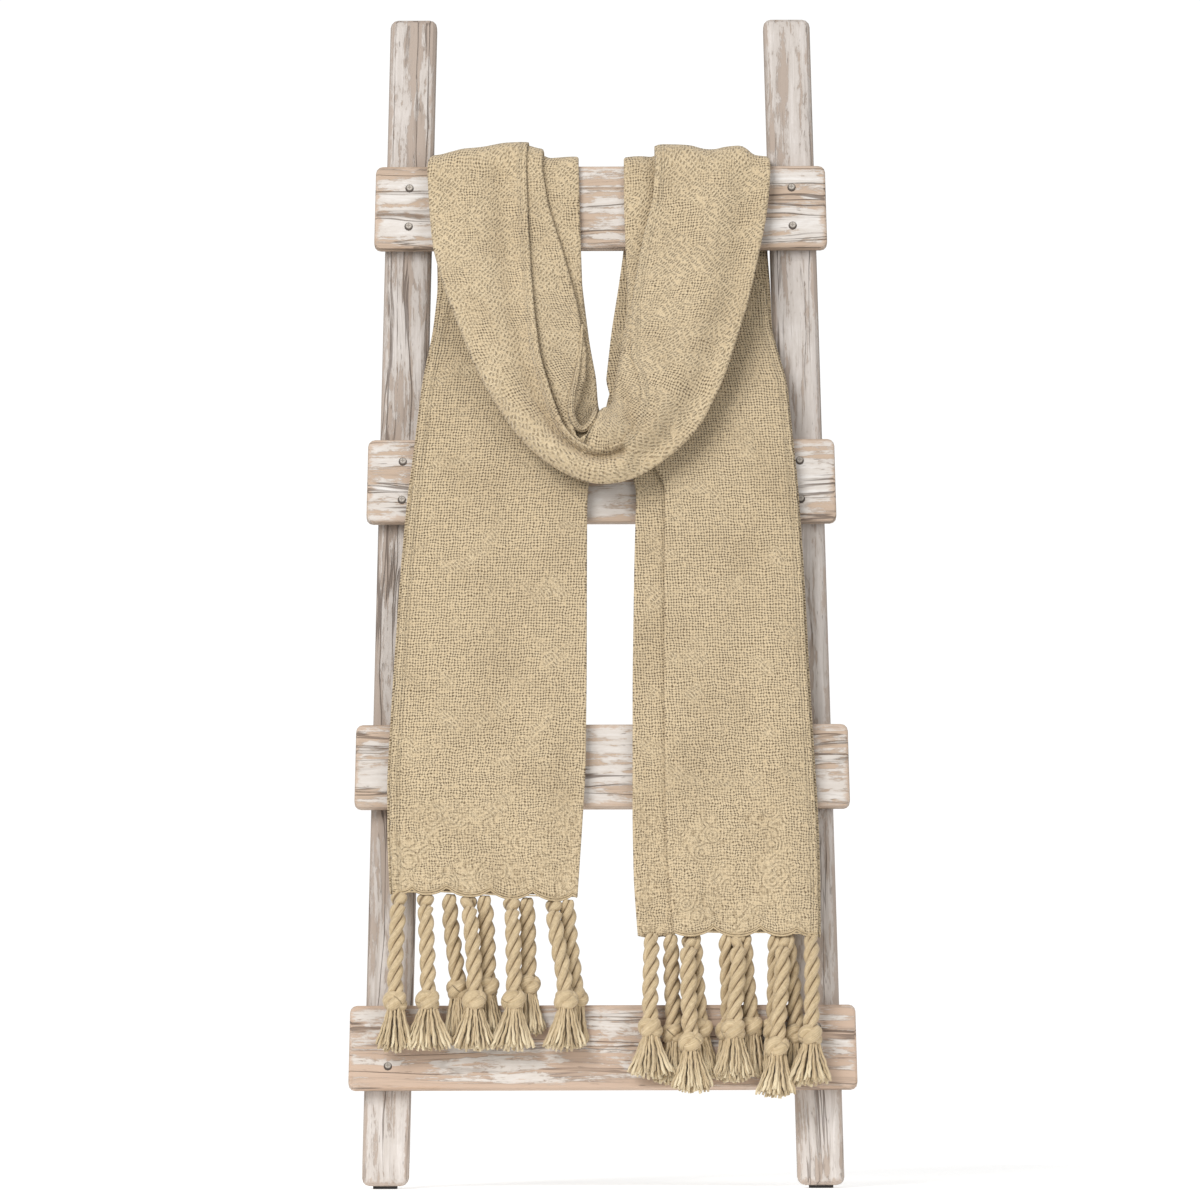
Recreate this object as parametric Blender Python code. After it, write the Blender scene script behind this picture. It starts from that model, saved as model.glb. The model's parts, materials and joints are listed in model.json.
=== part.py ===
# Leaning blanket ladder with a fringed throw over its top rung.
# Metres, +Z up, the front faces -Y. Pieces are modelled square to the ladder, under one leaning empty:
# there X runs across, Y is the depth with the rails' front faces at 0 and the front negative, and Z climbs
# along the ladder from the floor.

import math

import bmesh
import bpy
from mathutils import Vector

# How the ladder stands
LEAN = math.radians(10.0)
FOOT_SPACING = 0.4456      # between the rails' centre lines, at the floor
TOP_SPACING = 0.3842       # between the rails' centre lines, at their tops

# Rails
RAIL_LENGTH = 1.220
RAIL_WIDTH = 0.048
RAIL_DEPTH = 0.038
RAIL_ROUND = 0.008

# Rungs: name, height of the centre line along the rails, overhang past the rails' outer edges
RUNGS = (
    ("top_rung", 1.018, 0.011),
    ("upper_rung", 0.732, 0.012),
    ("lower_rung", 0.435, 0.017),
    ("bottom_rung", 0.144, 0.016),
)
RUNG_HEIGHT = 0.086
RUNG_THICKNESS = 0.019
RUNG_EDGE_ROUND = 0.0025
RUNG_CORNER_ROUND = 0.007

# Screws, two up each end of each rung
SCREW_SPACING = 0.040
SCREW_HEAD_RADIUS = 0.0040
SCREW_HEAD_HEIGHT = 0.0028
SCREW_SHANK_RADIUS = 0.0020
SCREW_LENGTH = 0.038
SCREW_TIP = 0.005
SCREW_SUNK = 0.0004        # the head lies this far below the rung's face
SCREW_SIDES = 12

# Foot pads
PAD_WIDTH = 0.025
PAD_DEPTH = 0.019
PAD_THICKNESS = 0.0025
PAD_ROUND = 0.004

# Fits
SEAT_GAP = 0.0003          # between two pieces that rest on each other
HOLE_GAP = 0.0004          # round a screw
CLOTH_GAP = 0.0005         # between the throw and the wood, or the throw and itself
SIDE_GAP = 0.0015          # between the throw's edges and the rails, where it passes between them

# Throw: bulk of the gathered cloth, not one layer of it
THROW_TOP_BULK = 0.016     # over and behind the top rung
TAIL_BULK = 0.014          # where a tail meets the upper rung
HEM_BULK = 0.022           # at the hems
SWAG_BULK = 0.022
LEFT_TAIL_DROP = 0.677     # from the top rung's lower edge to the left hem
RIGHT_TAIL_DROP = 0.720

# Outlines of the throw. Each row: how far below the top rung's lower edge, the outer edge and the inner edge,
# both as distances from the ladder's centre line. A tail's first rows lie between the rails.
LEFT_TAIL = (
    (0.040, 0.1670, 0.0185),
    (0.085, 0.1740, 0.0120),
    (0.140, 0.1800, 0.0080),
    (0.200, 0.1870, 0.0110),
    (0.264, 0.1945, 0.0150),
    (0.335, 0.2020, 0.0155),
    (0.450, 0.2110, 0.0165),
    (0.590, 0.2195, 0.0200),
)
RIGHT_TAIL = (
    (0.040, 0.1700, 0.0190),
    (0.085, 0.1750, 0.0150),
    (0.140, 0.1870, 0.0140),
    (0.200, 0.1945, 0.0280),
    (0.264, 0.2000, 0.0360),
    (0.335, 0.2040, 0.0350),
    (0.450, 0.2100, 0.0320),
    (0.620, 0.2200, 0.0320),
)
LEFT_HEM = (0.2165, 0.0285)
RIGHT_HEM = (0.2220, 0.0380)
LEFT_TOP = (0.1770, 0.0235)     # over the top rung, in front: outer and inner edge
RIGHT_TOP = (0.1740, 0.0250)

# The swag, from the left of the top rung to the right. Each row: outer edge (across, below the rung's top),
# then inner edge (across, below the rung's top).
SWAG = (
    ((-0.1720, 0.086), (-0.0225, 0.090)),
    ((-0.1600, 0.134), (-0.0195, 0.145)),
    ((-0.1290, 0.220), (-0.0125, 0.200)),
    ((-0.0870, 0.290), (-0.0085, 0.243)),
    ((-0.0390, 0.331), (-0.0035, 0.262)),
    ((0.0010, 0.343), (0.0010, 0.266)),
    ((0.0445, 0.331), (0.0060, 0.263)),
    ((0.0915, 0.289), (0.0125, 0.247)),
    ((0.1255, 0.231), (0.0195, 0.215)),
    ((0.1515, 0.150), (0.0245, 0.158)),
    ((0.1680, 0.072), (0.0255, 0.090)),
)

# Tassels: where each leaves the hem, where its knot hangs (both across from the centre line), how far the
# knot's middle is below the hem, and its row
LEFT_TASSELS = (
    (-0.2080, -0.2117, 0.110, "front"),
    (-0.1810, -0.1784, 0.109, "front"),
    (-0.1560, -0.1476, 0.096, "back"),
    (-0.1370, -0.1312, 0.109, "front"),
    (-0.1210, -0.1180, 0.093, "back"),
    (-0.0930, -0.0911, 0.109, "front"),
    (-0.0775, -0.0762, 0.091, "back"),
    (-0.0500, -0.0377, 0.109, "front"),
    (-0.0355, -0.0274, 0.104, "back"),
)
RIGHT_TASSELS = (
    (0.0505, 0.0486, 0.095, "front"),
    (0.0700, 0.0722, 0.099, "back"),
    (0.0885, 0.0897, 0.110, "front"),
    (0.1030, 0.1000, 0.094, "back"),
    (0.1235, 0.1275, 0.097, "back"),
    (0.1388, 0.1338, 0.097, "front"),
    (0.1535, 0.1520, 0.092, "back"),
    (0.1690, 0.1745, 0.094, "back"),
    (0.1840, 0.1780, 0.115, "front"),
    (0.1985, 0.1970, 0.100, "back"),
    (0.2133, 0.2124, 0.103, "front"),
)
TASSEL_TOP_RADIUS = 0.0066
TASSEL_NECK_RADIUS = 0.0054
ROPE_RADIUS = 0.0059
KNOT_RADIUS = 0.0120
KNOT_HEIGHT = 0.022
BRUSH_LENGTH = 0.042
BRUSH_RADIUS = 0.019
BACK_ROW_DEPTH = 0.0060    # half depth of a back row tassel
FRONT_ROW_DEPTH = 0.0080
ROW_GAP = 0.0006
ROW_SETTLE = 0.034         # length of rope over which a tassel reaches its row
TASSEL_SIDES = 8

# Values worked out from those above
RUNG_FRONT = -(RUNG_THICKNESS + SEAT_GAP)
SPLAY = math.atan2((FOOT_SPACING - TOP_SPACING) / 2, RAIL_LENGTH)
TOP_RUNG_TOP = RUNGS[0][1] + RUNG_HEIGHT / 2
TOP_RUNG_FOOT = RUNGS[0][1] - RUNG_HEIGHT / 2
UPPER_RUNG_TOP = RUNGS[1][1] + RUNG_HEIGHT / 2
HEM_MIDDLE = RUNG_FRONT - CLOTH_GAP - HEM_BULK / 2


def rail_centre(height):
    """Distance of a rail's centre line from the ladder's centre line."""
    return FOOT_SPACING / 2 - height * math.tan(SPLAY)


def rail_inside(height):
    return rail_centre(height) - RAIL_WIDTH / 2 / math.cos(SPLAY)


def rail_outside(height):
    return rail_centre(height) + RAIL_WIDTH / 2 / math.cos(SPLAY)


def floor_cut(depth, lift=0.0):
    """Height along the ladder, at this depth, of the plane that lies lift above the floor."""
    return (lift + depth * math.sin(LEAN)) / math.cos(LEAN)


def clear_scene():
    for obj in list(bpy.data.objects):
        bpy.data.objects.remove(obj, do_unlink=True)


def make_material(name, colour, roughness, metallic=0.0):
    material = bpy.data.materials.new(name)
    material.use_nodes = True
    shader = material.node_tree.nodes["Principled BSDF"]
    shader.inputs["Base Color"].default_value = (*colour, 1.0)
    shader.inputs["Roughness"].default_value = roughness
    shader.inputs["Metallic"].default_value = metallic
    return material


def make_object(name, mesh, parent, material=None):
    obj = bpy.data.objects.new(name, mesh)
    bpy.context.scene.collection.objects.link(obj)
    obj.parent = parent
    if material:
        obj.data.materials.append(material)
    return obj


def make_empty(name, parent=None, location=(0.0, 0.0, 0.0), tilt=0.0):
    empty = bpy.data.objects.new(name, None)
    bpy.context.scene.collection.objects.link(empty)
    empty.parent = parent
    empty.location = location
    empty.rotation_euler = (tilt, 0.0, 0.0)
    return empty


def mesh_from(name, bm, smooth_angle=None):
    """Turns a bmesh into a mesh, with its faces pointing out."""
    bmesh.ops.recalc_face_normals(bm, faces=bm.faces)
    mesh = bpy.data.meshes.new(name)
    bm.to_mesh(mesh)
    bm.free()
    if smooth_angle:
        mesh.shade_smooth()
        mesh.set_sharp_from_angle(angle=smooth_angle)
    return mesh


def loft(bm, rings):
    """Joins closed rings of equal length with faces, and caps both ends. One-point rings close to a tip."""
    loops = [[bm.verts.new(point) for point in ring] for ring in rings]
    for lower, upper in zip(loops, loops[1:]):
        count = max(len(lower), len(upper))
        for index in range(count):
            after = (index + 1) % count
            corners = [lower[index % len(lower)], lower[after % len(lower)]]
            corners += [upper[after % len(upper)], upper[index % len(upper)]]
            bm.faces.new(list(dict.fromkeys(corners)))
    for end in (loops[0], loops[-1]):
        if len(end) > 2:
            bm.faces.new(end)


def add_bevel(obj, width, segments, angle=math.radians(30)):
    bevel = obj.modifiers.new("Eased edges", "BEVEL")
    bevel.width = width
    bevel.segments = segments
    bevel.limit_method = "ANGLE"
    bevel.angle_limit = angle


def add_cuts(obj, cutters):
    """Cuts all of these out of obj at once."""
    group = bpy.data.collections.new(obj.name + "_holes")
    bpy.context.scene.collection.children.link(group)
    for cutter in cutters:
        group.objects.link(cutter)
    cut = obj.modifiers.new("Screw holes", "BOOLEAN")
    cut.operation = "DIFFERENCE"
    cut.solver = "EXACT"
    cut.operand_type = "COLLECTION"
    cut.collection = group


def make_rail(name, side, frame, material):
    """A splayed rail with a square top and a foot cut level with the floor."""
    bm = bmesh.new()
    rings = []
    for end in ("foot", "top"):
        ring = []
        for across, depth in ((-1, 0.0), (1, 0.0), (1, RAIL_DEPTH), (-1, RAIL_DEPTH)):
            foot = floor_cut(depth, PAD_THICKNESS + SEAT_GAP)
            height = foot if end == "foot" else RAIL_LENGTH
            centre = side * rail_centre(height)
            ring.append((centre + across * RAIL_WIDTH / 2 / math.cos(SPLAY), depth, height))
        rings.append(ring)
    loft(bm, rings)
    rail = make_object(name, mesh_from(name, bm), frame, material)
    add_bevel(rail, RAIL_ROUND, 3)
    return rail


def make_rung(name, height, overhang, frame, material):
    """A board whose ends run parallel to the rails, with round corners and eased edges."""
    bm = bmesh.new()
    outline = []
    for side, rise in ((-1, -1), (1, -1), (1, 1), (-1, 1)):
        level = height + rise * RUNG_HEIGHT / 2
        outline.append(bm.verts.new((side * (rail_outside(level) + overhang), -SEAT_GAP, level)))
    bm.faces.new(outline)
    bmesh.ops.bevel(
        bm, geom=bm.verts[:], offset=RUNG_CORNER_ROUND, segments=3, profile=0.5, affect="VERTICES"
    )
    front = bmesh.ops.extrude_face_region(bm, geom=bm.faces[:])["geom"]
    moved = [item for item in front if isinstance(item, bmesh.types.BMVert)]
    bmesh.ops.translate(bm, verts=moved, vec=(0.0, -RUNG_THICKNESS, 0.0))
    rung = make_object(name, mesh_from(name, bm), frame, material)
    add_bevel(rung, RUNG_EDGE_ROUND, 2, math.radians(50))
    return rung


def turned(bm, profile, sides):
    """Turns (distance along +Y, radius) points about the Y axis."""
    rings = []
    for along, radius in profile:
        if radius == 0.0:
            rings.append([(0.0, along, 0.0)])
            continue
        turns = (2 * math.pi * step / sides for step in range(sides))
        rings.append([(radius * math.cos(turn), along, radius * math.sin(turn)) for turn in turns])
    loft(bm, rings)


def screw_mesh(material):
    bm = bmesh.new()
    profile = (
        (0.0, SCREW_HEAD_RADIUS),
        (SCREW_HEAD_HEIGHT * 0.25, SCREW_HEAD_RADIUS),
        (SCREW_HEAD_HEIGHT, SCREW_SHANK_RADIUS),
        (SCREW_LENGTH - SCREW_TIP, SCREW_SHANK_RADIUS),
        (SCREW_LENGTH, 0.0),
    )
    turned(bm, profile, SCREW_SIDES)
    mesh = mesh_from("screw", bm, math.radians(40))
    mesh.materials.append(material)
    return mesh


def screw_hole_mesh():
    """The screw's own shape grown by the gap, open through the rung's face."""
    bm = bmesh.new()
    profile = (
        (-0.004, SCREW_HEAD_RADIUS + HOLE_GAP),
        (SCREW_HEAD_HEIGHT * 0.25 + HOLE_GAP, SCREW_HEAD_RADIUS + HOLE_GAP),
        (SCREW_HEAD_HEIGHT + HOLE_GAP, SCREW_SHANK_RADIUS + HOLE_GAP),
        (SCREW_LENGTH - SCREW_TIP + HOLE_GAP, SCREW_SHANK_RADIUS + HOLE_GAP),
        (SCREW_LENGTH + HOLE_GAP, 0.0),
    )
    turned(bm, profile, SCREW_SIDES)
    return mesh_from("screw hole", bm)


def make_fasteners(rung, height, frame, screws, holes):
    """Two screws for each end of a rung, and the shapes of their holes as a list for each side."""
    number = 0
    sides = []
    for side in (-1, 1):
        cutters = []
        for rise in (1, -1):
            number += 1
            level = height + rise * SCREW_SPACING / 2
            place = (side * rail_centre(level), RUNG_FRONT + SCREW_SUNK, level)
            name = f"{rung.name}_screw_{number}"
            make_object(name, screws, frame).location = place
            hole = make_object(name + "_hole", holes, frame)
            hole.location = place
            hole.hide_render = True
            hole.display_type = "WIRE"
            cutters.append(hole)
        sides.append(cutters)
    return sides


def make_foot_pad(name, side, frame, material):
    """A flat pad on the floor, under the middle of a rail's foot."""
    middle = RAIL_DEPTH / 2
    bm = bmesh.new()
    rings = []
    for lift in (0.0, PAD_THICKNESS):
        ring = []
        for across, along in ((-1, -1), (1, -1), (1, 1), (-1, 1)):
            depth = middle + along * PAD_DEPTH / 2 * math.cos(LEAN) + lift * math.sin(-LEAN)
            height = floor_cut(depth, lift)
            ring.append((side * rail_centre(0.0) + across * PAD_WIDTH / 2, depth, height))
        rings.append(ring)
    loft(bm, rings)
    upright = [edge for edge in bm.edges if abs(edge.verts[0].co.x - edge.verts[1].co.x) < 1e-6]
    upright = [edge for edge in upright if edge.calc_length() < PAD_THICKNESS * 1.5]
    bmesh.ops.bevel(bm, geom=upright, offset=PAD_ROUND, segments=3, profile=0.5, affect="EDGES")
    return make_object(name, mesh_from(name, bm), frame, material)


def cloth_ring(outer, inner, turn, bulk):
    """Eight points round one section of the throw.

    outer and inner are the middles of its two edges, and turn is the way that the side which touches the
    top rung faces: 0 is the front, and it grows as that side turns down and then to the back.
    """
    face = Vector((0.0, -math.cos(turn), -math.sin(turn)))
    outer = Vector(outer)
    inner = Vector(inner)
    inset = (inner - outer).normalized() * bulk * 0.3
    middle = (outer + inner) / 2
    half = face * bulk / 2
    return [
        outer,
        outer + inset + half,
        middle + half,
        inner - inset + half,
        inner,
        inner - inset - half,
        middle - half,
        outer + inset - half,
    ]


def tail_depth(height, bulk):
    """Depth of a tail's middle: behind the top rung, slanting forward below it, then on the rungs' fronts."""
    behind = -SEAT_GAP + CLOTH_GAP + bulk / 2
    ahead = RUNG_FRONT - CLOTH_GAP - bulk / 2
    landing = UPPER_RUNG_TOP + bulk
    share = (TOP_RUNG_FOOT - height) / (TOP_RUNG_FOOT - landing)
    return behind + (ahead - behind) * min(max(share, 0.0), 1.0)


def tail_bulk(height, hem_height):
    """The cloth spreads and loosens on its way to the hem."""
    share = (UPPER_RUNG_TOP - height) / (UPPER_RUNG_TOP - hem_height)
    return TAIL_BULK + (HEM_BULK - TAIL_BULK) * min(max(share, 0.0), 1.0)


def tail_rings(side, rows, hem_edges, hem_height):
    """Sections of one tail from below the top rung down to its hem."""
    rings = []
    for drop, outer, inner in (*rows, (TOP_RUNG_FOOT - hem_height, *hem_edges)):
        height = TOP_RUNG_FOOT - drop
        bulk = tail_bulk(height, hem_height)
        depth = tail_depth(height, bulk)
        if depth + bulk / 2 > -CLOTH_GAP:
            outer = min(outer, rail_inside(height) - SIDE_GAP)
        outer_edge = (side * outer, depth, height)
        inner_edge = (side * inner, depth, height)
        rings.append(cloth_ring(outer_edge, inner_edge, 0.0, bulk))
    return rings


def over_rings(side, edges):
    """Sections from behind the top rung's lower edge, over its top, to the front of it."""
    outer, inner = edges
    outer_behind = min(outer, rail_inside(TOP_RUNG_TOP + THROW_TOP_BULK) - SIDE_GAP)
    reach = RUNG_EDGE_ROUND + CLOTH_GAP + THROW_TOP_BULK / 2
    back_edge = -SEAT_GAP - RUNG_EDGE_ROUND
    front_edge = RUNG_FRONT + RUNG_EDGE_ROUND
    crest = TOP_RUNG_TOP - RUNG_EDGE_ROUND
    middle = (TOP_RUNG_FOOT + TOP_RUNG_TOP) / 2
    rows = [(back_edge + reach, TOP_RUNG_FOOT, 0.0), (back_edge + reach, middle, 0.0)]
    for edge, first in ((back_edge, 0), (front_edge, 90)):
        for degrees in (first, first + 45, first + 90):
            turn = math.radians(degrees)
            rows.append((edge + reach * math.cos(turn), crest + reach * math.sin(turn), turn))
    rings = []
    for depth, height, turn in rows:
        edge = outer if turn >= math.pi else outer_behind
        rings.append(
            cloth_ring((side * edge, depth, height), (side * inner, depth, height), turn, THROW_TOP_BULK)
        )
    return rings


def swag_depth(drop):
    """Depth of the swag's middle: on the top rung's front, then clear of the tails below it."""
    near = RUNG_FRONT - CLOTH_GAP - THROW_TOP_BULK / 2
    far = RUNG_FRONT - 3 * CLOTH_GAP - TAIL_BULK - SWAG_BULK / 2
    share = (drop - RUNG_HEIGHT * 0.8) / (TOP_RUNG_TOP - UPPER_RUNG_TOP - RUNG_HEIGHT)
    return near + (far - near) * min(max(share, 0.0), 1.0)


def swag_rings():
    rings = []
    for outer, inner in SWAG:
        drop = max(outer[1], inner[1])
        share = min(drop / (TOP_RUNG_TOP - UPPER_RUNG_TOP), 1.0)
        bulk = THROW_TOP_BULK + (SWAG_BULK - THROW_TOP_BULK) * share
        depth = swag_depth(drop)
        edges = [(across, depth, TOP_RUNG_TOP - fall) for across, fall in (outer, inner)]
        rings.append(cloth_ring(*edges, math.pi, bulk))
    return rings


def make_throw(frame, material, left_hem, right_hem):
    """One cloth: left tail, over the top rung, swag, over the top rung again, right tail."""
    left_tail = tail_rings(-1, LEFT_TAIL, LEFT_HEM, left_hem)
    right_tail = tail_rings(1, RIGHT_TAIL, RIGHT_HEM, right_hem)
    rings = left_tail[::-1] + over_rings(-1, LEFT_TOP)
    rings += swag_rings()
    rings += over_rings(1, RIGHT_TOP)[::-1] + right_tail
    bm = bmesh.new()
    loft(bm, rings)
    bmesh.ops.triangulate(bm, faces=bm.faces)
    return make_object("throw", mesh_from("throw", bm, math.radians(50)), frame, material)


def room_beside(tassels, index, wanted):
    """Half the way to the nearest knot of the same row, or wanted if that is less."""
    own = tassels[index]
    others = [other for place, other in enumerate(tassels) if place != index and other[3] == own[3]]
    nearest = min(abs(other[1] - own[1]) for other in others)
    return min(wanted, nearest / 2 - ROW_GAP / 2)


def tassel_profile(knot_drop, knot_radius, brush_radius):
    """(distance below the top, radius) from the round top, along the rope and the knot, to the brush's end."""
    top = TASSEL_TOP_RADIUS
    half_knot = KNOT_HEIGHT / 2
    brush = knot_drop + half_knot
    rope = min(ROPE_RADIUS, knot_radius)
    return (
        (0.0, 0.0),
        (top * 0.3, top * math.sqrt(1 - 0.7**2)),
        (top, top),
        (top * 1.9, TASSEL_NECK_RADIUS),
        (knot_drop - half_knot * 1.1, rope),
        (knot_drop - half_knot * 0.5, knot_radius * 0.9),
        (knot_drop + half_knot * 0.5, knot_radius * 0.9),
        (brush, rope),
        (brush + BRUSH_LENGTH * 0.4, brush_radius * 0.75),
        (brush + BRUSH_LENGTH, brush_radius),
    )


def make_tassel(name, tassels, index, hinge, material):
    """A tassel under its hem's hinge, whose origin is the middle of the tassels' round tops."""
    leaves, knot, knot_drop, row = tassels[index]
    knot_radius = room_beside(tassels, index, KNOT_RADIUS)
    brush_radius = room_beside(tassels, index, BRUSH_RADIUS)
    back_face = RUNG_FRONT - CLOTH_GAP
    if row == "back":
        row_depth = BACK_ROW_DEPTH
        settled = back_face - BACK_ROW_DEPTH
    else:
        row_depth = FRONT_ROW_DEPTH
        settled = back_face - 2 * BACK_ROW_DEPTH - ROW_GAP - FRONT_ROW_DEPTH
    rings = []
    for drop, radius in tassel_profile(knot_drop, knot_radius, brush_radius):
        share = min(max(drop - TASSEL_TOP_RADIUS, 0.0) / ROW_SETTLE, 1.0)
        across = leaves + (knot - leaves) * min(drop / knot_drop, 1.0)
        depth = (settled - HEM_MIDDLE) * share * share * (3 - 2 * share)
        height = TASSEL_TOP_RADIUS - drop
        if radius == 0.0:
            rings.append([(across, depth, height)])
            continue
        turns = [2 * math.pi * (step + 0.5) / TASSEL_SIDES for step in range(TASSEL_SIDES)]
        thick = min(radius, row_depth)
        rings.append(
            [(across + radius * math.cos(turn), depth + thick * math.sin(turn), height) for turn in turns]
        )
    bm = bmesh.new()
    loft(bm, rings)
    return make_object(name, mesh_from(name, bm, math.radians(50)), hinge, material)


def stand_on_origin(frame):
    """Moves the ladder so that its box rests on the floor, centred over the origin."""
    bpy.context.view_layer.update()
    graph = bpy.context.evaluated_depsgraph_get()
    points = []
    for obj in bpy.context.scene.objects:
        if obj.type != "MESH" or obj.hide_render:
            continue
        evaluated = obj.evaluated_get(graph)
        mesh = evaluated.to_mesh()
        points += [evaluated.matrix_world @ vertex.co for vertex in mesh.vertices]
        evaluated.to_mesh_clear()
    low = [min(point[axis] for point in points) for axis in range(3)]
    high = [max(point[axis] for point in points) for axis in range(3)]
    frame.location -= Vector(((low[0] + high[0]) / 2, (low[1] + high[1]) / 2, low[2]))
    bpy.context.view_layer.update()


def build():
    clear_scene()
    timber = make_material("Whitewashed timber", (0.72, 0.68, 0.64), 0.75)
    steel = make_material("Worn zinc screw", (0.33, 0.31, 0.29), 0.45, 0.9)
    rubber = make_material("Dark foot pad", (0.03, 0.03, 0.03), 0.85)
    cotton = make_material("Beige woven cotton", (0.60, 0.46, 0.27), 0.95)
    rope = make_material("Beige cotton rope", (0.64, 0.51, 0.31), 0.95)

    frame = make_empty("ladder", tilt=-LEAN)
    rails = [make_rail(name, side, frame, timber) for name, side in (("left_rail", -1), ("right_rail", 1))]
    screws = screw_mesh(steel)
    holes = screw_hole_mesh()
    rail_holes = ([], [])
    for name, height, overhang in RUNGS:
        rung = make_rung(name, height, overhang, frame, timber)
        sides = make_fasteners(rung, height, frame, screws, holes)
        add_cuts(rung, sides[0] + sides[1])
        for gathered, cutters in zip(rail_holes, sides):
            gathered.extend(cutters)
    for rail, cutters in zip(rails, rail_holes):
        add_cuts(rail, cutters)
    make_foot_pad("left_foot_pad", -1, frame, rubber)
    make_foot_pad("right_foot_pad", 1, frame, rubber)

    left_hem = TOP_RUNG_FOOT - LEFT_TAIL_DROP
    right_hem = TOP_RUNG_FOOT - RIGHT_TAIL_DROP
    make_throw(frame, cotton, left_hem, right_hem)
    for side, hem, tassels in (("left", left_hem, LEFT_TASSELS), ("right", right_hem, RIGHT_TASSELS)):
        place = (0.0, HEM_MIDDLE, hem - SEAT_GAP - TASSEL_TOP_RADIUS)
        hinge = make_empty(side + "_fringe", frame, place)
        for index in range(len(tassels)):
            make_tassel(f"{side}_tassel_{index + 1}", tassels, index, hinge, rope)
    stand_on_origin(frame)


build()
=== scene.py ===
import json
import math
import random

import bmesh
import bpy
import numpy as np
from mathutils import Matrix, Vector


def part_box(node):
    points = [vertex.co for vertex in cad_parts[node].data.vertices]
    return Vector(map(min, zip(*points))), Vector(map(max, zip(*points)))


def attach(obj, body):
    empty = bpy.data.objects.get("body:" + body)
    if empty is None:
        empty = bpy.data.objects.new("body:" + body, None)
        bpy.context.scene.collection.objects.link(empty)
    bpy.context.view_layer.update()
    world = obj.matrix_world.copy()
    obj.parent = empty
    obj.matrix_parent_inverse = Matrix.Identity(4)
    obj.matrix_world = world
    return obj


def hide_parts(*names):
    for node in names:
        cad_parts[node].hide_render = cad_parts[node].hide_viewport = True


# Visual model of a throw hung over a blanket ladder. Metres, +Z up, the ladder leans back towards +Y.

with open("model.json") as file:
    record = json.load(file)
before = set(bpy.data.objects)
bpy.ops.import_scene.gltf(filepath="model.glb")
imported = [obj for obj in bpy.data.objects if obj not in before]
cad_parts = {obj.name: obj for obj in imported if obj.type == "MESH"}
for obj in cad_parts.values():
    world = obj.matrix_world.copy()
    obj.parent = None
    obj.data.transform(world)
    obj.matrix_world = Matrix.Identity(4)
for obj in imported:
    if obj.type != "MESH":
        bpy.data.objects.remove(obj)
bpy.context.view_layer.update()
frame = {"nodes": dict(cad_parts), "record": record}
record = frame["record"]
print("frame loaded:", len(frame["nodes"]), "nodes")


# Node materials.

class Wire:
    # One socket of a material. Arithmetic on wires adds Math nodes.
    def __init__(self, finish, socket):
        self.finish = finish
        self.socket = socket

    def math(self, operation, *operands, clamp=False):
        settings = {"operation": operation, "use_clamp": clamp}
        return self.finish.node("ShaderNodeMath", settings, dict(enumerate(operands)))

    def __add__(self, other):
        return self.math("ADD", self, other)

    __radd__ = __add__

    def __sub__(self, other):
        return self.math("SUBTRACT", self, other)

    def __rsub__(self, other):
        return self.math("SUBTRACT", other, self)

    def __mul__(self, other):
        return self.math("MULTIPLY", self, other)

    __rmul__ = __mul__

    def __pow__(self, power):
        return self.math("POWER", self, power)

    def __abs__(self):
        return self.math("ABSOLUTE", self)

    def sine(self):
        return self.math("SINE", self)

    def least(self, other):
        return self.math("MINIMUM", self, other)

    def most(self, other):
        return self.math("MAXIMUM", self, other)

    def clamped(self):
        return self.math("ADD", self, 0.0, clamp=True)

    def ease(self, low, high):
        # 0 at low, 1 at high, smooth between; low may be the larger
        sockets = {"Value": self, "From Min": low, "From Max": high}
        return self.finish.node("ShaderNodeMapRange", {"interpolation_type": "SMOOTHSTEP"}, sockets)


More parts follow.
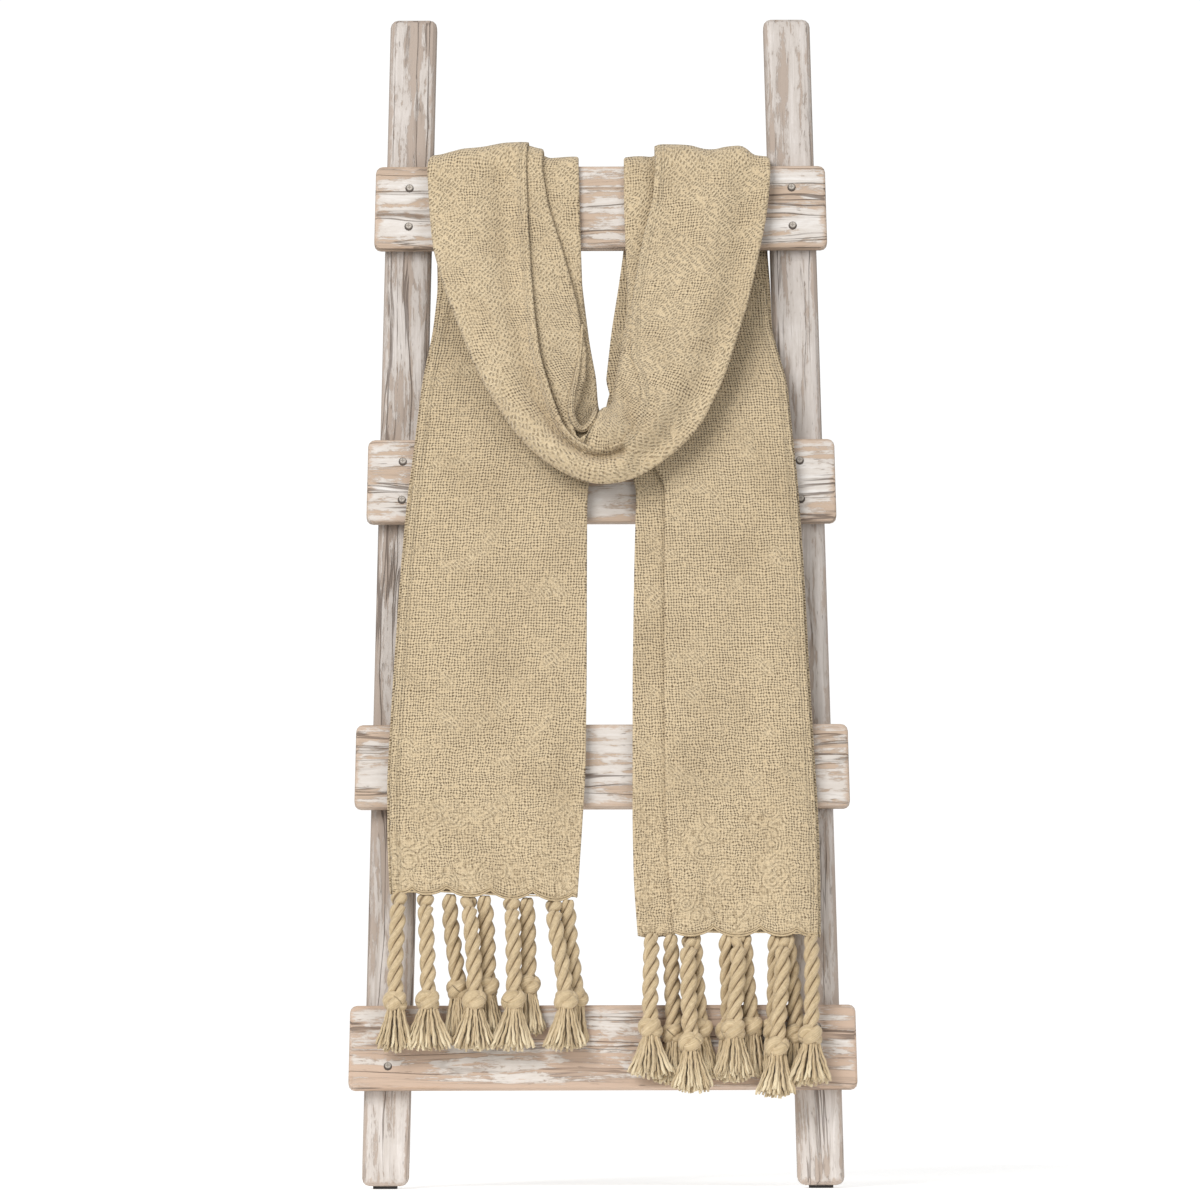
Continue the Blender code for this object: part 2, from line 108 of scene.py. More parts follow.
class Finish:
    # A material whose nodes are added by expressions.
    def __init__(self, name, roughness=0.6):
        self.material = bpy.data.materials.new(name)
        self.material.use_nodes = True
        self.tree = self.material.node_tree
        self.shader = self.tree.nodes["Principled BSDF"]
        self.shader.inputs["Roughness"].default_value = roughness

    def feed(self, socket, value):
        if isinstance(value, Wire):
            self.tree.links.new(value.socket, socket)
        else:
            socket.default_value = value

    def node(self, kind, settings=None, sockets=None, output=0):
        made = self.tree.nodes.new(kind)
        for name, value in (settings or {}).items():
            setattr(made, name, value)
        for name, value in (sockets or {}).items():
            self.feed(made.inputs[name], value)
        return Wire(self, made.outputs[output])

    def place(self, middle=None):
        # where a point of the piece is, in the scene or measured from a middle
        place = self.node("ShaderNodeTexCoord", output="Object")
        if middle is None:
            return place
        return self.node("ShaderNodeVectorMath", {"operation": "SUBTRACT"}, {0: place, 1: tuple(middle)})

    def stored(self, name):
        # the three numbers of a mesh's own attribute
        place = self.node("ShaderNodeAttribute", {"attribute_name": name}, None, "Vector")
        parts = self.node("ShaderNodeSeparateXYZ", None, {"Vector": place})
        return [Wire(self, parts.socket.node.outputs[axis]) for axis in "XYZ"]

    def along(self, place, axis):
        # how far a place lies along an axis
        sockets = {0: place, 1: tuple(axis)}
        return self.node("ShaderNodeVectorMath", {"operation": "DOT_PRODUCT"}, sockets, "Value")

    def joined(self, x, y, z=0.0):
        return self.node("ShaderNodeCombineXYZ", None, {"X": x, "Y": y, "Z": z})

    def noise(self, place, scale=1.0, detail=2.0, roughness=0.5, distortion=0.0):
        sockets = {"Vector": place, "Scale": scale, "Detail": detail, "Roughness": roughness,
                   "Distortion": distortion}
        return self.node("ShaderNodeTexNoise", None, sockets, "Fac")

    def shaded(self, distance, samples):
        # 1 in the open, less in a hollow
        return self.node("ShaderNodeAmbientOcclusion", {"samples": samples}, {"Distance": distance}, "AO")

    def mix(self, share, first, second):
        return self.node("ShaderNodeMix", {"data_type": "RGBA"}, {0: share, 6: first, 7: second}, 2)

    def bump(self, height, distance, strength):
        return self.node("ShaderNodeBump", None,
                         {"Height": height, "Distance": distance, "Strength": strength})

    def shade(self, baseColor, roughness, normal):
        for name, value in (("Base Color", baseColor), ("Roughness", roughness), ("Normal", normal)):
            self.feed(self.shader.inputs[name], value)
        return self.material


def rgb(red, green, blue):
    # screen values 0..255 to a linear colour
    parts = [value / 255 for value in (red, green, blue)]
    linear = [part / 12.92 if part <= 0.04045 else ((part + 0.055) / 1.055) ** 2.4 for part in parts]
    return (*linear, 1.0)


def tones(look, *names):
    return [rgb(*look[name]) for name in names]


# The ladder's own frame.

def mountOf(name):
    return next(mount for mount in record["mounts"] if mount["name"] == name)


depthAxis = Vector(mountOf("left_rail_back")["axis"])      # out of the rails' backs
climbAxis = Vector((0.0, -depthAxis.z, depthAxis.y))       # up along the ladder
acrossAxis = Vector((1.0, 0.0, 0.0))


def cornersOf(node):
    return [vertex.co for vertex in frame["nodes"][node].data.vertices]


def reach(node, axis):
    # lowest and highest place of a CAD node along an axis
    places = [axis.dot(corner) for corner in cornersOf(node)]
    return min(places), max(places)


ladderOrigin = Vector((0.0, reach("left_rail", depthAxis)[0] / depthAxis.y, 0.0))
climbZero = climbAxis.dot(ladderOrigin)
depthZero = depthAxis.dot(ladderOrigin)


def ladderPoint(across, depth, climb):
    return ladderOrigin + across * acrossAxis + depth * depthAxis + climb * climbAxis


def ladderPlace(corner):
    # the other way round: across, depth and climb of a point
    return corner.x, depthAxis.dot(corner) - depthZero, climbAxis.dot(corner) - climbZero


def climbs(node):
    low, high = reach(node, climbAxis)
    return low - climbZero, high - climbZero


def depths(node):
    low, high = reach(node, depthAxis)
    return low - depthZero, high - depthZero


# Camera, floor and light.

studio = {
    "distance": 20.0,        # a long lens, so that the rails' lines stay true
    "frameHeight": 1.2324,
    "aim": (-0.0017, 0.6013),
    "roll": 0.15,            # degrees
    "floorRadius": 0.85,
    "floorSides": 96,
    "floorDrop": 0.0005,     # under the feet
    "floorGlow": 0.42,
    "skyOnObject": 0.53,
    "skySeen": 1.05,
    # place, aim, size, power
    "key": ((-2.0, -3.2, 2.9), (0.0, 0.0, 0.65), 2.3, 150.0),
    "fill": ((2.6, -3.0, 1.4), (0.0, 0.0, 0.55), 2.2, 34.0),
}


def makeCamera():
    data = bpy.data.cameras.new("camera")
    data.sensor_width = 36.0
    data.lens = data.sensor_width * studio["distance"] / studio["frameHeight"]
    data.clip_end = 200.0
    camera = bpy.data.objects.new("camera", data)
    camera.location = (studio["aim"][0], -studio["distance"], studio["aim"][1])
    camera.rotation_euler = (math.radians(90), math.radians(studio["roll"]), 0.0)
    bpy.context.scene.collection.objects.link(camera)
    bpy.context.scene.camera = camera


def makeFloor():
    radius, sides = studio["floorRadius"], studio["floorSides"]
    turns = [math.tau * step / sides for step in range(sides)]
    mesh = bpy.data.meshes.new("floor")
    mesh.from_pydata([(radius * math.cos(turn), radius * math.sin(turn), 0.0) for turn in turns], [],
                     [tuple(range(sides))])
    floor = bpy.data.objects.new("floor", mesh)
    floor.location.z = -studio["floorDrop"]
    bpy.context.scene.collection.objects.link(floor)
    paper = Finish("floor_paper", roughness=0.9)
    tone = paper.noise(paper.place(), scale=3.0, detail=4.0)
    paper.feed(paper.shader.inputs["Base Color"], paper.mix(tone, rgb(250, 250, 249), rgb(253, 253, 252)))
    paper.shader.inputs["Emission Color"].default_value = (1.0, 1.0, 1.0, 1.0)
    paper.shader.inputs["Emission Strength"].default_value = studio["floorGlow"]
    mesh.materials.append(paper.material)


def areaLight(name, place, aim, size, power):
    data = bpy.data.lights.new(name, "AREA")
    data.shape = "SQUARE"
    data.size = size
    data.energy = power
    lamp = bpy.data.objects.new(name, data)
    lamp.location = place
    lamp.rotation_euler = (Vector(aim) - Vector(place)).to_track_quat("-Z", "Y").to_euler()
    bpy.context.scene.collection.objects.link(lamp)


def makeLight():
    world = bpy.data.worlds.new("studio")
    bpy.context.scene.world = world
    world.use_nodes = True
    nodes = world.node_tree.nodes
    background = nodes["Background"]
    background.inputs["Color"].default_value = (1.0, 1.0, 1.0, 1.0)
    seen = nodes.new("ShaderNodeLightPath")
    strength = nodes.new("ShaderNodeMapRange")      # the sweep behind is seen pure white
    strength.inputs["To Min"].default_value = studio["skyOnObject"]
    strength.inputs["To Max"].default_value = studio["skySeen"]
    world.node_tree.links.new(seen.outputs["Is Camera Ray"], strength.inputs["Value"])
    world.node_tree.links.new(strength.outputs["Result"], background.inputs["Strength"])
    areaLight("key", *studio["key"])
    areaLight("fill", *studio["fill"])
    bpy.context.scene.view_settings.view_transform = "Standard"


makeCamera()
makeFloor()
makeLight()
print("camera, floor and light ready")


# The ladder's wood.

boardPaint = {
    "paint": (224, 220, 216),
    "thinPaint": (200, 191, 182),
    "bareWood": (184, 160, 138),
    "darkGrain": (104, 88, 76),
    "wornEdge": (178, 148, 122),
    "edgeWear": 0.0050,      # how far wear reaches in from an edge
    "wear": 0.50,            # higher leaves more paint
}
railPaint = dict(boardPaint, paint=(212, 205, 200), thinPaint=(186, 177, 169), bareWood=(168, 152, 139),
                 darkGrain=(110, 97, 88), wornEdge=(166, 147, 131), edgeWear=0.0038, wear=0.515)
wornBoard = dict(boardPaint, wear=0.470, bareWood=(186, 160, 139))


def whitewashedWood(name, look, centre, grainAxis, widthAxis, halfLength, halfWidth, seed):
    wood = Finish(name, roughness=0.62)
    place = wood.place(centre)
    along = wood.along(place, grainAxis)
    across = wood.along(place, widthAxis)
    through = wood.along(place, Vector(grainAxis).cross(Vector(widthAxis)))

    def grain(stretch, shift, over, deep, **more):
        # noise drawn out along the grain
        return wood.noise(wood.joined(along * stretch + seed * shift, over, through * deep), **more)

    # long slow wander of the grain, then everything else follows the wandered lines
    line = across + (grain(4.0, 1.0, across * 22.0, 8.0, detail=3.0) - 0.5) * 0.024
    rings = grain(3.0, 1.7, line * 40.0, 30.0, detail=5.0, roughness=0.62, distortion=0.35)
    fibre = grain(9.0, 1.0, line * 520.0, 400.0, detail=3.0, roughness=0.6)
    streak = grain(5.5, -1.0, line * 150.0, 90.0, detail=4.0, roughness=0.62)
    patch = grain(13.0, 2.3, across * 46.0, 40.0, detail=6.0, roughness=0.62, distortion=0.6)
    flake = grain(80.0, 1.0, line * 280.0, 260.0, detail=4.0, roughness=0.68, distortion=0.8)
    cloud = grain(6.0, 4.1, across * 12.0, 10.0, detail=3.0)
    # paint is lost in long patches, along the fibres
    loss = patch * 0.42 + streak * 0.34 + rings * 0.22 + fibre * 0.12 + flake * 0.18
    lost = loss.ease(look["wear"] + 0.135, look["wear"] + 0.180)
    thinned = loss.ease(look["wear"] + 0.01, look["wear"] + 0.15)
    # and along the arrises and the ends
    sideGap = halfWidth - abs(across)
    endGap = halfLength - abs(along)
    rough = (patch - 0.5) * 0.030 + (streak - 0.5) * 0.014 + (flake - 0.5) * 0.016
    edge = (sideGap.least(endGap) + rough).ease(look["edgeWear"], 0.0003)
    # fine dark cracks that follow the grain
    ridge = abs(grain(2.6, 3.1, line * 64.0, 50.0, detail=3.0, distortion=0.2) - 0.5)
    crack = ridge.ease(0.022, 0.004) * rings.ease(0.42, 0.58)
    pit = grain(60.0, 1.0, line * 420.0, 300.0).ease(0.68, 0.76)
    white, thin, timber, dark, worn = tones(look, "paint", "thinPaint", "bareWood", "darkGrain", "wornEdge")
    bare = wood.mix(fibre.ease(0.35, 0.66), dark, timber)
    bare = wood.mix(streak.ease(0.32, 0.58), bare, timber)
    paint = wood.mix(fibre.ease(0.28, 0.60), thin, white)
    paint = wood.mix(thinned * 0.85, paint, thin)
    paint = wood.mix(cloud.ease(0.45, 0.70) * 0.45, paint, thin)
    colour = wood.mix(lost * 0.90, paint, bare)
    colour = wood.mix(edge * 0.80, colour, wood.mix(fibre.ease(0.3, 0.6), worn, timber))
    colour = wood.mix(crack * 0.85, colour, dark)
    colour = wood.mix(pit * 0.55, colour, dark)
    height = (1.0 - lost) * 0.6 + fibre * 0.5 - crack * 1.4 + streak * 0.5 - pit * 0.6
    roughness = 0.50 + lost * 0.22 + fibre * 0.10
    return wood.shade(colour, roughness, wood.bump(height, 0.0008, 0.8))


def dress(node, material):
    for place in frame["nodes"][node].material_slots:
        place.material = material


railEnd = 0.03               # the length of a rail's end whose middle is taken


def dressLadder():
    for seed, side in enumerate(("left_rail", "right_rail")):
        corners = cornersOf(side)
        low, high = climbs(side)
        ends = [[corner for corner in corners if ladderPlace(corner)[2] < low + railEnd],
                [corner for corner in corners if ladderPlace(corner)[2] > high - railEnd]]
        foot, top = (sum(end, Vector()) / len(end) for end in ends)
        grain = (top - foot).normalized()
        width = depthAxis.cross(grain).normalized()
        spread = [width.dot(corner - foot) for corner in corners]
        dress(side, whitewashedWood("whitewash_" + side, railPaint, (foot + top) / 2, grain, width,
                                    (high - low) / 2, (max(spread) - min(spread)) / 2,
                                    3.7 + 8.1 * seed))
    for seed, rung in enumerate(("top_rung", "upper_rung", "lower_rung", "bottom_rung")):
        low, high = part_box(rung)
        climbLow, climbHigh = climbs(rung)
        paint = wornBoard if rung == "bottom_rung" else boardPaint
        dress(rung, whitewashedWood("whitewash_" + rung, paint, (low + high) / 2, acrossAxis, climbAxis,
                                    (high.x - low.x) / 2, (climbHigh - climbLow) / 2,
                                    21.3 + 6.9 * seed))


screwLook = {
    "steel": (150, 142, 132),
    "steelLight": (198, 190, 180),
    # painted shadow round the head's rim, and painted shade in its slot
    "rimShadow": (62, 50, 42),
    "slot": (86, 75, 66),
    "rimShadowFrom": (0.0024, 0.0036),         # from the middle, where the dark rim begins and is full
    "slotHalf": (0.0007, 0.0003),
    "slotReach": (0.0024, 0.0018),
}


def wornSteel(name, middle):
    # dull in the recess, with painted shade in the slot and a dark ring of painted shadow round the rim
    # where the head sits in the wood
    steel = Finish("worn_steel_" + name, roughness=0.45)
    place = steel.place(middle)
    sideways = steel.along(place, acrossAxis)
    upright = steel.along(place, climbAxis)
    radius = (sideways * sideways + upright * upright) ** 0.5
    speck = steel.noise(steel.place(), scale=900.0, detail=4.0)
    # painted shadow ring round the rim, then painted shade in the slot
    rimShadow = (radius + (speck - 0.5) * 0.0012).ease(*screwLook["rimShadowFrom"])
    slot = abs(sideways).least(abs(upright)).ease(*screwLook["slotHalf"])
    slot = slot * radius.ease(*screwLook["slotReach"])
    dull, light, dark, slotShadeTone = tones(screwLook, "steel", "steelLight", "rimShadow", "slot")
    tone = steel.mix(rimShadow * 0.92, steel.mix(speck, dull, light), dark)
    steel.shader.inputs["Metallic"].default_value = 0.45
    return steel.shade(steel.mix(slot * 0.5, tone, slotShadeTone), 0.38 + speck * 0.25,
                       steel.bump(speck - slot, 0.0002, 0.5))


def padRubber():
    rubber = Finish("foot_pad_rubber", roughness=0.85)
    grit = rubber.noise(rubber.place(), scale=1400.0, detail=3.0)
    return rubber.shade(rubber.mix(grit, rgb(34, 32, 31), rgb(60, 57, 54)), 0.75 + grit * 0.2,
                        rubber.bump(grit, 0.0002, 0.6))


dressLadder()
rubberFinish = padRubber()
for nodeName in frame["nodes"]:
    if "_screw_" in nodeName:
        low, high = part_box(nodeName)
        dress(nodeName, wornSteel(nodeName, (low + high) / 2))
    if nodeName.endswith("_foot_pad"):
        dress(nodeName, rubberFinish)
print("ladder dressed")


# The throw. One woven cloth, folded in five layers across its width and hung in one long course:
# left hem, up the left tail, behind and over the top rung, down and round the swag, and back to the right.

throwLook = {
    "flat": (0.50, 2.30),        # as it comes off the loom, without its tassels
    "thickness": 0.0022,
    "yarn": (201, 180, 145),
    # also the painted highlight on the swag's crests
    "yarnLight": (222, 204, 171),
    "yarnDeepAndShade": (112, 87, 52),
    # the deep tone, also used for painted shade in the cloth's hollows and creases
    "weave": 0.0029,             # pitch of the crepe cells
    "rows": 430,                 # along the throw
    "smoothing": 0.0085,         # how far a station's change is spread along the throw
    "backHemLift": 0.0055,       # the hidden layers end above the front one
    "scallop": 0.0098,
    "samples": (30, 40, 20, 36, 66),
    "turnSamples": 8,
    "landing": 0.012,            # above the upper rung, where a tail has come to the front
    "behindRails": 0.55,         # share of the way there on which it stays between the rails
    "hemAhead": 0.0042,          # the hem hangs this much further out
    "swagAhead": 0.0165,         # and the swag this much, over the tails
    "valleys": (0.0110, 0.0062),  # how deep they are pressed into the swag's left and right arm
    "hemFade": 0.034,            # how far up the scallops pull the cloth
}

# Stations of the course. down is below the top rung's lower edge on a tail, and below its top edge on the
# swag. across gives the outer and inner edge. folds are shares of the way from the outer to the inner edge:
# the front selvedge, the fold that shows second, the hidden fold, the innermost fold, the other selvedge.
leftTail = (
    # down, outer, inner, folds
    (0.6770, -0.2165, -0.0265, (0.05, 0.62, 0.42, 1.00, 0.01)),
    (0.6200, -0.2190, -0.0225, (0.05, 0.62, 0.42, 1.00, 0.01)),
    (0.5500, -0.2190, -0.0180, (0.05, 0.63, 0.42, 1.00, 0.01)),
    (0.4500, -0.2130, -0.0165, (0.06, 0.63, 0.42, 1.00, 0.01)),
    (0.3350, -0.2050, -0.0160, (0.08, 0.64, 0.42, 1.00, 0.01)),
    (0.2640, -0.1985, -0.0155, (0.10, 0.64, 0.42, 1.00, 0.02)),
    (0.2000, -0.1900, -0.0090, (0.12, 0.65, 0.42, 1.00, 0.010)),
    (0.1650, -0.1860, -0.0050, (0.14, 0.66, 0.42, 1.00, 0.010)),
    (0.1400, -0.1830, -0.0078, (0.16, 0.66, 0.42, 1.00, 0.012)),
    (0.0850, -0.1750, -0.0145, (0.22, 0.68, 0.42, 1.00, 0.020)),
    (0.0400, -0.1670, -0.0198, (0.30, 0.70, 0.42, 1.00, 0.040)),
)
rightTail = (
    (0.7200, 0.2220, 0.0370, (0.05, 1.00, 0.50, 0.80, 0.01)),
    (0.6600, 0.2220, 0.0330, (0.05, 1.00, 0.50, 0.81, 0.01)),
    (0.6000, 0.2205, 0.0320, (0.05, 1.00, 0.50, 0.82, 0.01)),
    (0.4500, 0.2120, 0.0325, (0.06, 1.00, 0.50, 0.82, 0.01)),
    (0.3350, 0.2065, 0.0345, (0.08, 1.00, 0.50, 0.82, 0.01)),
    (0.2500, 0.2010, 0.0370, (0.10, 1.00, 0.50, 0.82, 0.005)),
    (0.2050, 0.1965, 0.0170, (0.12, 1.00, 0.50, 0.87, 0.005)),
    (0.1700, 0.1930, 0.0045, (0.14, 1.00, 0.49, 0.95, 0.005)),
    (0.1400, 0.1905, 0.0060, (0.16, 0.96, 0.48, 1.00, 0.006)),
    (0.0850, 0.1840, 0.0120, (0.22, 0.90, 0.46, 1.00, 0.010)),
    (0.0400, 0.1790, 0.0190, (0.30, 0.86, 0.44, 1.00, 0.030)),
)
overLeft = (-0.1775, -0.0235, (0.655, 0.755, 0.40, 1.00, 0.30))
overRight = (0.1740, 0.0250, (0.788, 0.775, 0.40, 1.00, 0.30))
# how high the bunched cloth stands over the top rung, by share of the way from the outer to the inner edge
humps = {
    -1: ((0.00, -0.0040), (0.06, -0.0030), (0.20, 0.0053), (0.35, 0.0065), (0.48, 0.0100), (0.65, 0.0108),
         (0.71, 0.0088), (0.765, 0.0080), (0.79, 0.0052), (1.00, 0.0046)),
    1: ((0.00, -0.0060), (0.03, -0.0055), (0.10, -0.0035), (0.155, 0.0060), (0.19, 0.0078), (0.30, 0.0050),
        (0.36, 0.0025), (0.44, 0.0035), (0.53, 0.0075), (0.73, 0.0095), (0.775, 0.0085), (0.80, 0.0050),
        (1.00, 0.0046)),
}
swagCourse = (
    # outer edge (across, down), inner edge (across, down), folds, gap behind the front layer
    ((-0.1755, 0.045), (-0.0225, 0.045), (0.655, 0.79, 0.40, 1.00, 0.30), 0.0050),
    ((-0.1720, 0.088), (-0.0213, 0.090), (0.655, 0.87, 0.42, 1.00, 0.32), 0.0060),
    ((-0.1600, 0.134), (-0.0195, 0.145), (0.640, 0.95, 0.44, 1.00, 0.34), 0.0075),
    ((-0.1290, 0.217), (-0.0110, 0.200), (0.560, 0.96, 0.44, 1.00, 0.34), 0.0105),
    ((-0.1086, 0.255), (-0.0060, 0.226), (0.530, 0.90, 0.42, 1.00, 0.34), 0.0125),
    ((-0.0870, 0.288), (-0.0048, 0.246), (0.500, 0.76, 0.40, 1.00, 0.34), 0.0135),
    ((-0.0654, 0.311), (-0.0040, 0.256), (0.455, 0.58, 0.36, 1.00, 0.34), 0.0125),
    ((-0.0440, 0.326), (-0.0025, 0.260), (0.430, 0.46, 0.32, 1.00, 0.34), 0.0080),
    ((-0.0320, 0.332), (-0.0030, 0.261), (0.430, 0.52, 0.32, 0.99, 0.34), 0.0055),
    ((-0.0225, 0.3365), (-0.0015, 0.262), (0.430, 0.93, 0.32, 0.90, 0.34), 0.0030),
    ((-0.0120, 0.3398), (0.0010, 0.2605), (0.430, 0.99, 0.32, 0.84, 0.34), 0.0024),
    ((0.0013, 0.3415), (0.0040, 0.2600), (0.440, 1.00, 0.32, 0.85, 0.34), 0.0023),
    ((0.0198, 0.3395), (0.0075, 0.2600), (0.460, 1.00, 0.34, 0.90, 0.34), 0.0023),
    ((0.0445, 0.3300), (0.0105, 0.2570), (0.500, 0.99, 0.36, 0.96, 0.34), 0.0023),
    ((0.0794, 0.3040), (0.0120, 0.248), (0.600, 0.96, 0.40, 0.99, 0.34), 0.0023),
    ((0.1020, 0.2790), (0.0155, 0.230), (0.700, 0.98, 0.42, 1.00, 0.34), 0.0023),
    ((0.1256, 0.2290), (0.0200, 0.205), (0.900, 0.975, 0.42, 1.00, 0.34), 0.0024),
    ((0.1513, 0.1455), (0.0290, 0.150), (0.975, 0.965, 0.42, 1.00, 0.32), 0.0028),
    ((0.1687, 0.0621), (0.0262, 0.080), (0.874, 0.862, 0.42, 1.00, 0.32), 0.0034),
    ((0.1728, 0.0300), (0.0250, 0.040), (0.805, 0.790, 0.40, 1.00, 0.30), 0.0040),
)

frontRow = -0.033                # the front row of tassels lies further out than this
tasselPitch = 0.044              # from one tassel of a row to the next
layerGap = {"tail": 0.0029, "hem": 0.0025, "over": 0.0033, "swag": 0.0062}
clothClear = 0.0012              # cloth to wood
railClear = {-1: 0.004, 1: 0.0012}

topFoot, topCrest = climbs("top_rung")
upperCrest = climbs("upper_rung")[1]
rungFront, rungBack = depths("top_rung")


def limited(share):
    return min(max(share, 0.0), 1.0)


def resampled(at, places, values):
    # every column of values, known at places, read off at other places
    return np.stack([np.interp(at, places, values[:, k]) for k in range(values.shape[1])], 1)


def runOf(points):
    # the length along a line of points, up to each
    return np.concatenate([[0.0], np.cumsum(np.linalg.norm(np.diff(points, axis=0), axis=1))])


def railInside(climb):
    # how far from the middle the rails' inner faces are, at a height
    places = [ladderPlace(corner) for corner in cornersOf("right_rail")]
    low = min(across for across, depth, height in places if height < 0.05)
    high = min(across for across, depth, height in places if height > 1.15)
    return low + (high - low) * climb / 1.2


def station(outer, inner, depth, facing, folds, gaps, dome=0.0, hump=0.0):
    # outer and inner are (across, climb); facing is (depth, climb) from the last layer to the first
    return np.array([*outer, *inner, depth, *facing, *gaps, *folds, dome, hump])


def tailStations(rows, side):
    made = []
    hemDrop = rows[0][0]
    for down, outer, inner, folds in rows:
        climb = topFoot - down
        share = limited((upperCrest - climb) / (upperCrest - (topFoot - hemDrop)))
        gap = layerGap["tail"] + (layerGap["hem"] - layerGap["tail"]) * share
        ahead = rungFront - clothClear - throwLook["thickness"] / 2 - 2 * gap - throwLook["hemAhead"] * share
        behind = rungBack + clothClear + throwLook["thickness"] / 2 + 2 * layerGap["over"]
        lean = limited((topFoot - climb) / (topFoot - (upperCrest + throwLook["landing"])))
        depth = behind + (ahead - behind) * lean
        if lean < throwLook["behindRails"]:
            outer = side * min(abs(outer), railInside(climb) - railClear[side])
        made.append(station((outer, climb), (inner, climb), depth, (1.0, 0.0), folds, (gap, gap)))
    return made


def overStations(edges, side):
    outer, inner, folds = edges
    gap = layerGap["over"]
    reachOut = clothClear + throwLook["thickness"] / 2 + 2 * gap
    behind = side * min(abs(outer), railInside(topCrest) - railClear[side])
    made = []
    for climb in (topFoot + 0.004, (topFoot + topCrest) / 2, topCrest - 0.012):
        made.append(station((behind, climb), (inner, climb), rungBack + reachOut, (1.0, 0.0), folds,
                            (gap, gap)))
    for corner, turns in ((rungBack - 0.003, (0, 30, 60, 90)), (rungFront + 0.003, (90, 120, 150, 180))):
        for turn in turns:
            facing = (math.cos(math.radians(turn)), math.sin(math.radians(turn)))
            edge = behind if turn < 120 else outer
            climb = topCrest - 0.003 + (reachOut + 0.003) * facing[1]
            made.append(station((edge, climb), (inner, climb), corner + (reachOut + 0.003) * facing[0],
                                facing, folds, (gap, gap), hump=math.sin(math.radians(turn)) ** 0.5))
    return made


def swagStations():
    made = []
    fullDown = max(row[0][1] for row in swagCourse)
    for outer, inner, folds, frontGap in swagCourse:
        down = (outer[1] + inner[1]) / 2
        share = limited((down - 0.05) / (fullDown - 0.12))
        gap = layerGap["over"] + (layerGap["swag"] - layerGap["over"]) * share
        near = rungFront - clothClear - throwLook["thickness"] / 2 - 2 * gap
        near -= throwLook["swagAhead"] * limited((down - 0.075) / 0.12)
        made.append(station((outer[0], topCrest - outer[1]), (inner[0], topCrest - inner[1]),
                            near, (-1.0, 0.0), folds, (frontGap, gap), 0.004 + 0.010 * share))
    return made


def smoothed(values, spread):
    # rows of values, each blended with its neighbours; the ends stay
    reachRows = int(3 * spread)
    weights = np.exp(-0.5 * (np.arange(-reachRows, reachRows + 1) / spread) ** 2)
    weights /= weights.sum()
    before = 2 * values[0] - values[reachRows:0:-1]
    after = 2 * values[-1] - values[-2:-reachRows - 2:-1]
    long = np.concatenate([before, values, after])
    return np.stack([np.convolve(long[:, k], weights, "valid") for k in range(values.shape[1])], 1)


def foldedSection(width, gaps, folds, dome):
    # the five layers and four turns of one section: share across, and place in the stack
    frontGap, gap = gaps
    selvedge, second, hidden, inmost, last = folds
    ends = (selvedge, 0.0, second, hidden, inmost, last)
    levels = np.array([3 * gap + frontGap, 3 * gap, 2 * gap, gap, 0.0]) - (3 * gap + frontGap) / 2
    shares, offsets = [], []
    for layer, count in enumerate(throwLook["samples"]):
        start, stop = ends[layer], ends[layer + 1]
        if layer > 0:
            lean = 1.0 if start > ends[layer - 1] else -1.0
            start = start - lean * (levels[layer - 1] - levels[layer]) / 2 / width
        if layer < 4:
            lean = 1.0 if stop > ends[layer] else -1.0
            radius = (levels[layer] - levels[layer + 1]) / 2
            stop = stop - lean * radius / width
        run = np.linspace(start, stop, count)
        shares.append(run)
        offsets.append(np.full(count, levels[layer]))
        if layer < 4:
            turn = np.linspace(0.0, math.pi, throwLook["turnSamples"] + 2)[1:-1]
            shares.append(stop + lean * radius / width * np.sin(turn))
            offsets.append(levels[layer] - radius + radius * np.cos(turn))
    share, offset = np.concatenate(shares), np.concatenate(offsets)
    return share, offset + dome * np.sin(math.pi * np.clip(share, 0.0, 1.0)) ** 0.8


def eased(values, low, high):
    share = np.clip((values - low) / (high - low), 0.0, 1.0)
    return share * share * (3.0 - 2.0 * share)


def humpOf(share, offset, side):
    # a stand lifts every layer, a dip only presses them together
    places, heights = zip(*humps[side])
    height = sum(np.interp(share + slip, places, heights) for slip in (-0.02, -0.01, 0.0, 0.01, 0.02)) / 5
    level = (offset - offset.min()) / np.ptp(offset)
    return np.where(height > 0.0, height, height * level)


def frontValleys(share, selvedge, level, leftSide):
    # long soft valleys pressed into the front of the swag, with a ridge beside the selvedge
    within = share / max(selvedge, 0.05)
    if leftSide:
        pressed = 0.55 * np.exp(-((within - 0.34) / 0.20) ** 2) - np.exp(-((within - 0.78) / 0.16) ** 2)
        return pressed * level * throwLook["valleys"][0]
    pressed = 0.5 * np.exp(-((share - 0.44) / 0.14) ** 2) - np.exp(-((share - 0.13) / 0.12) ** 2)
    pressed -= 0.4 * np.exp(-((share - 0.66) / 0.08) ** 2)
    return pressed * level * throwLook["valleys"][1]


# soft bumps and valleys at the foot of the swag: from and to (across, down), spread, lift off the ladder
swagDents = (
    ((0.0030, 0.274), (0.0160, 0.283), 0.0120, 0.0062),
    ((0.0200, 0.236), (0.0345, 0.290), 0.0056, -0.0078),
    ((0.0420, 0.250), (0.0560, 0.280), 0.0120, 0.0022),
    ((-0.0450, 0.300), (-0.0180, 0.312), 0.0070, 0.0022),
)


def dentLift(across, down):
    lift = np.zeros_like(across)
    for start, stop, spread, height in swagDents:
        start, run = np.array(start), np.array(stop) - np.array(start)
        share = ((across - start[0]) * run[0] + (down - start[1]) * run[1]) / run.dot(run)
        share = np.clip(share, 0.0, 1.0)
        gap = np.hypot(across - start[0] - run[0] * share, down - start[1] - run[1] * share)
        lift += height * np.exp(-(gap / spread) ** 2)
    return lift


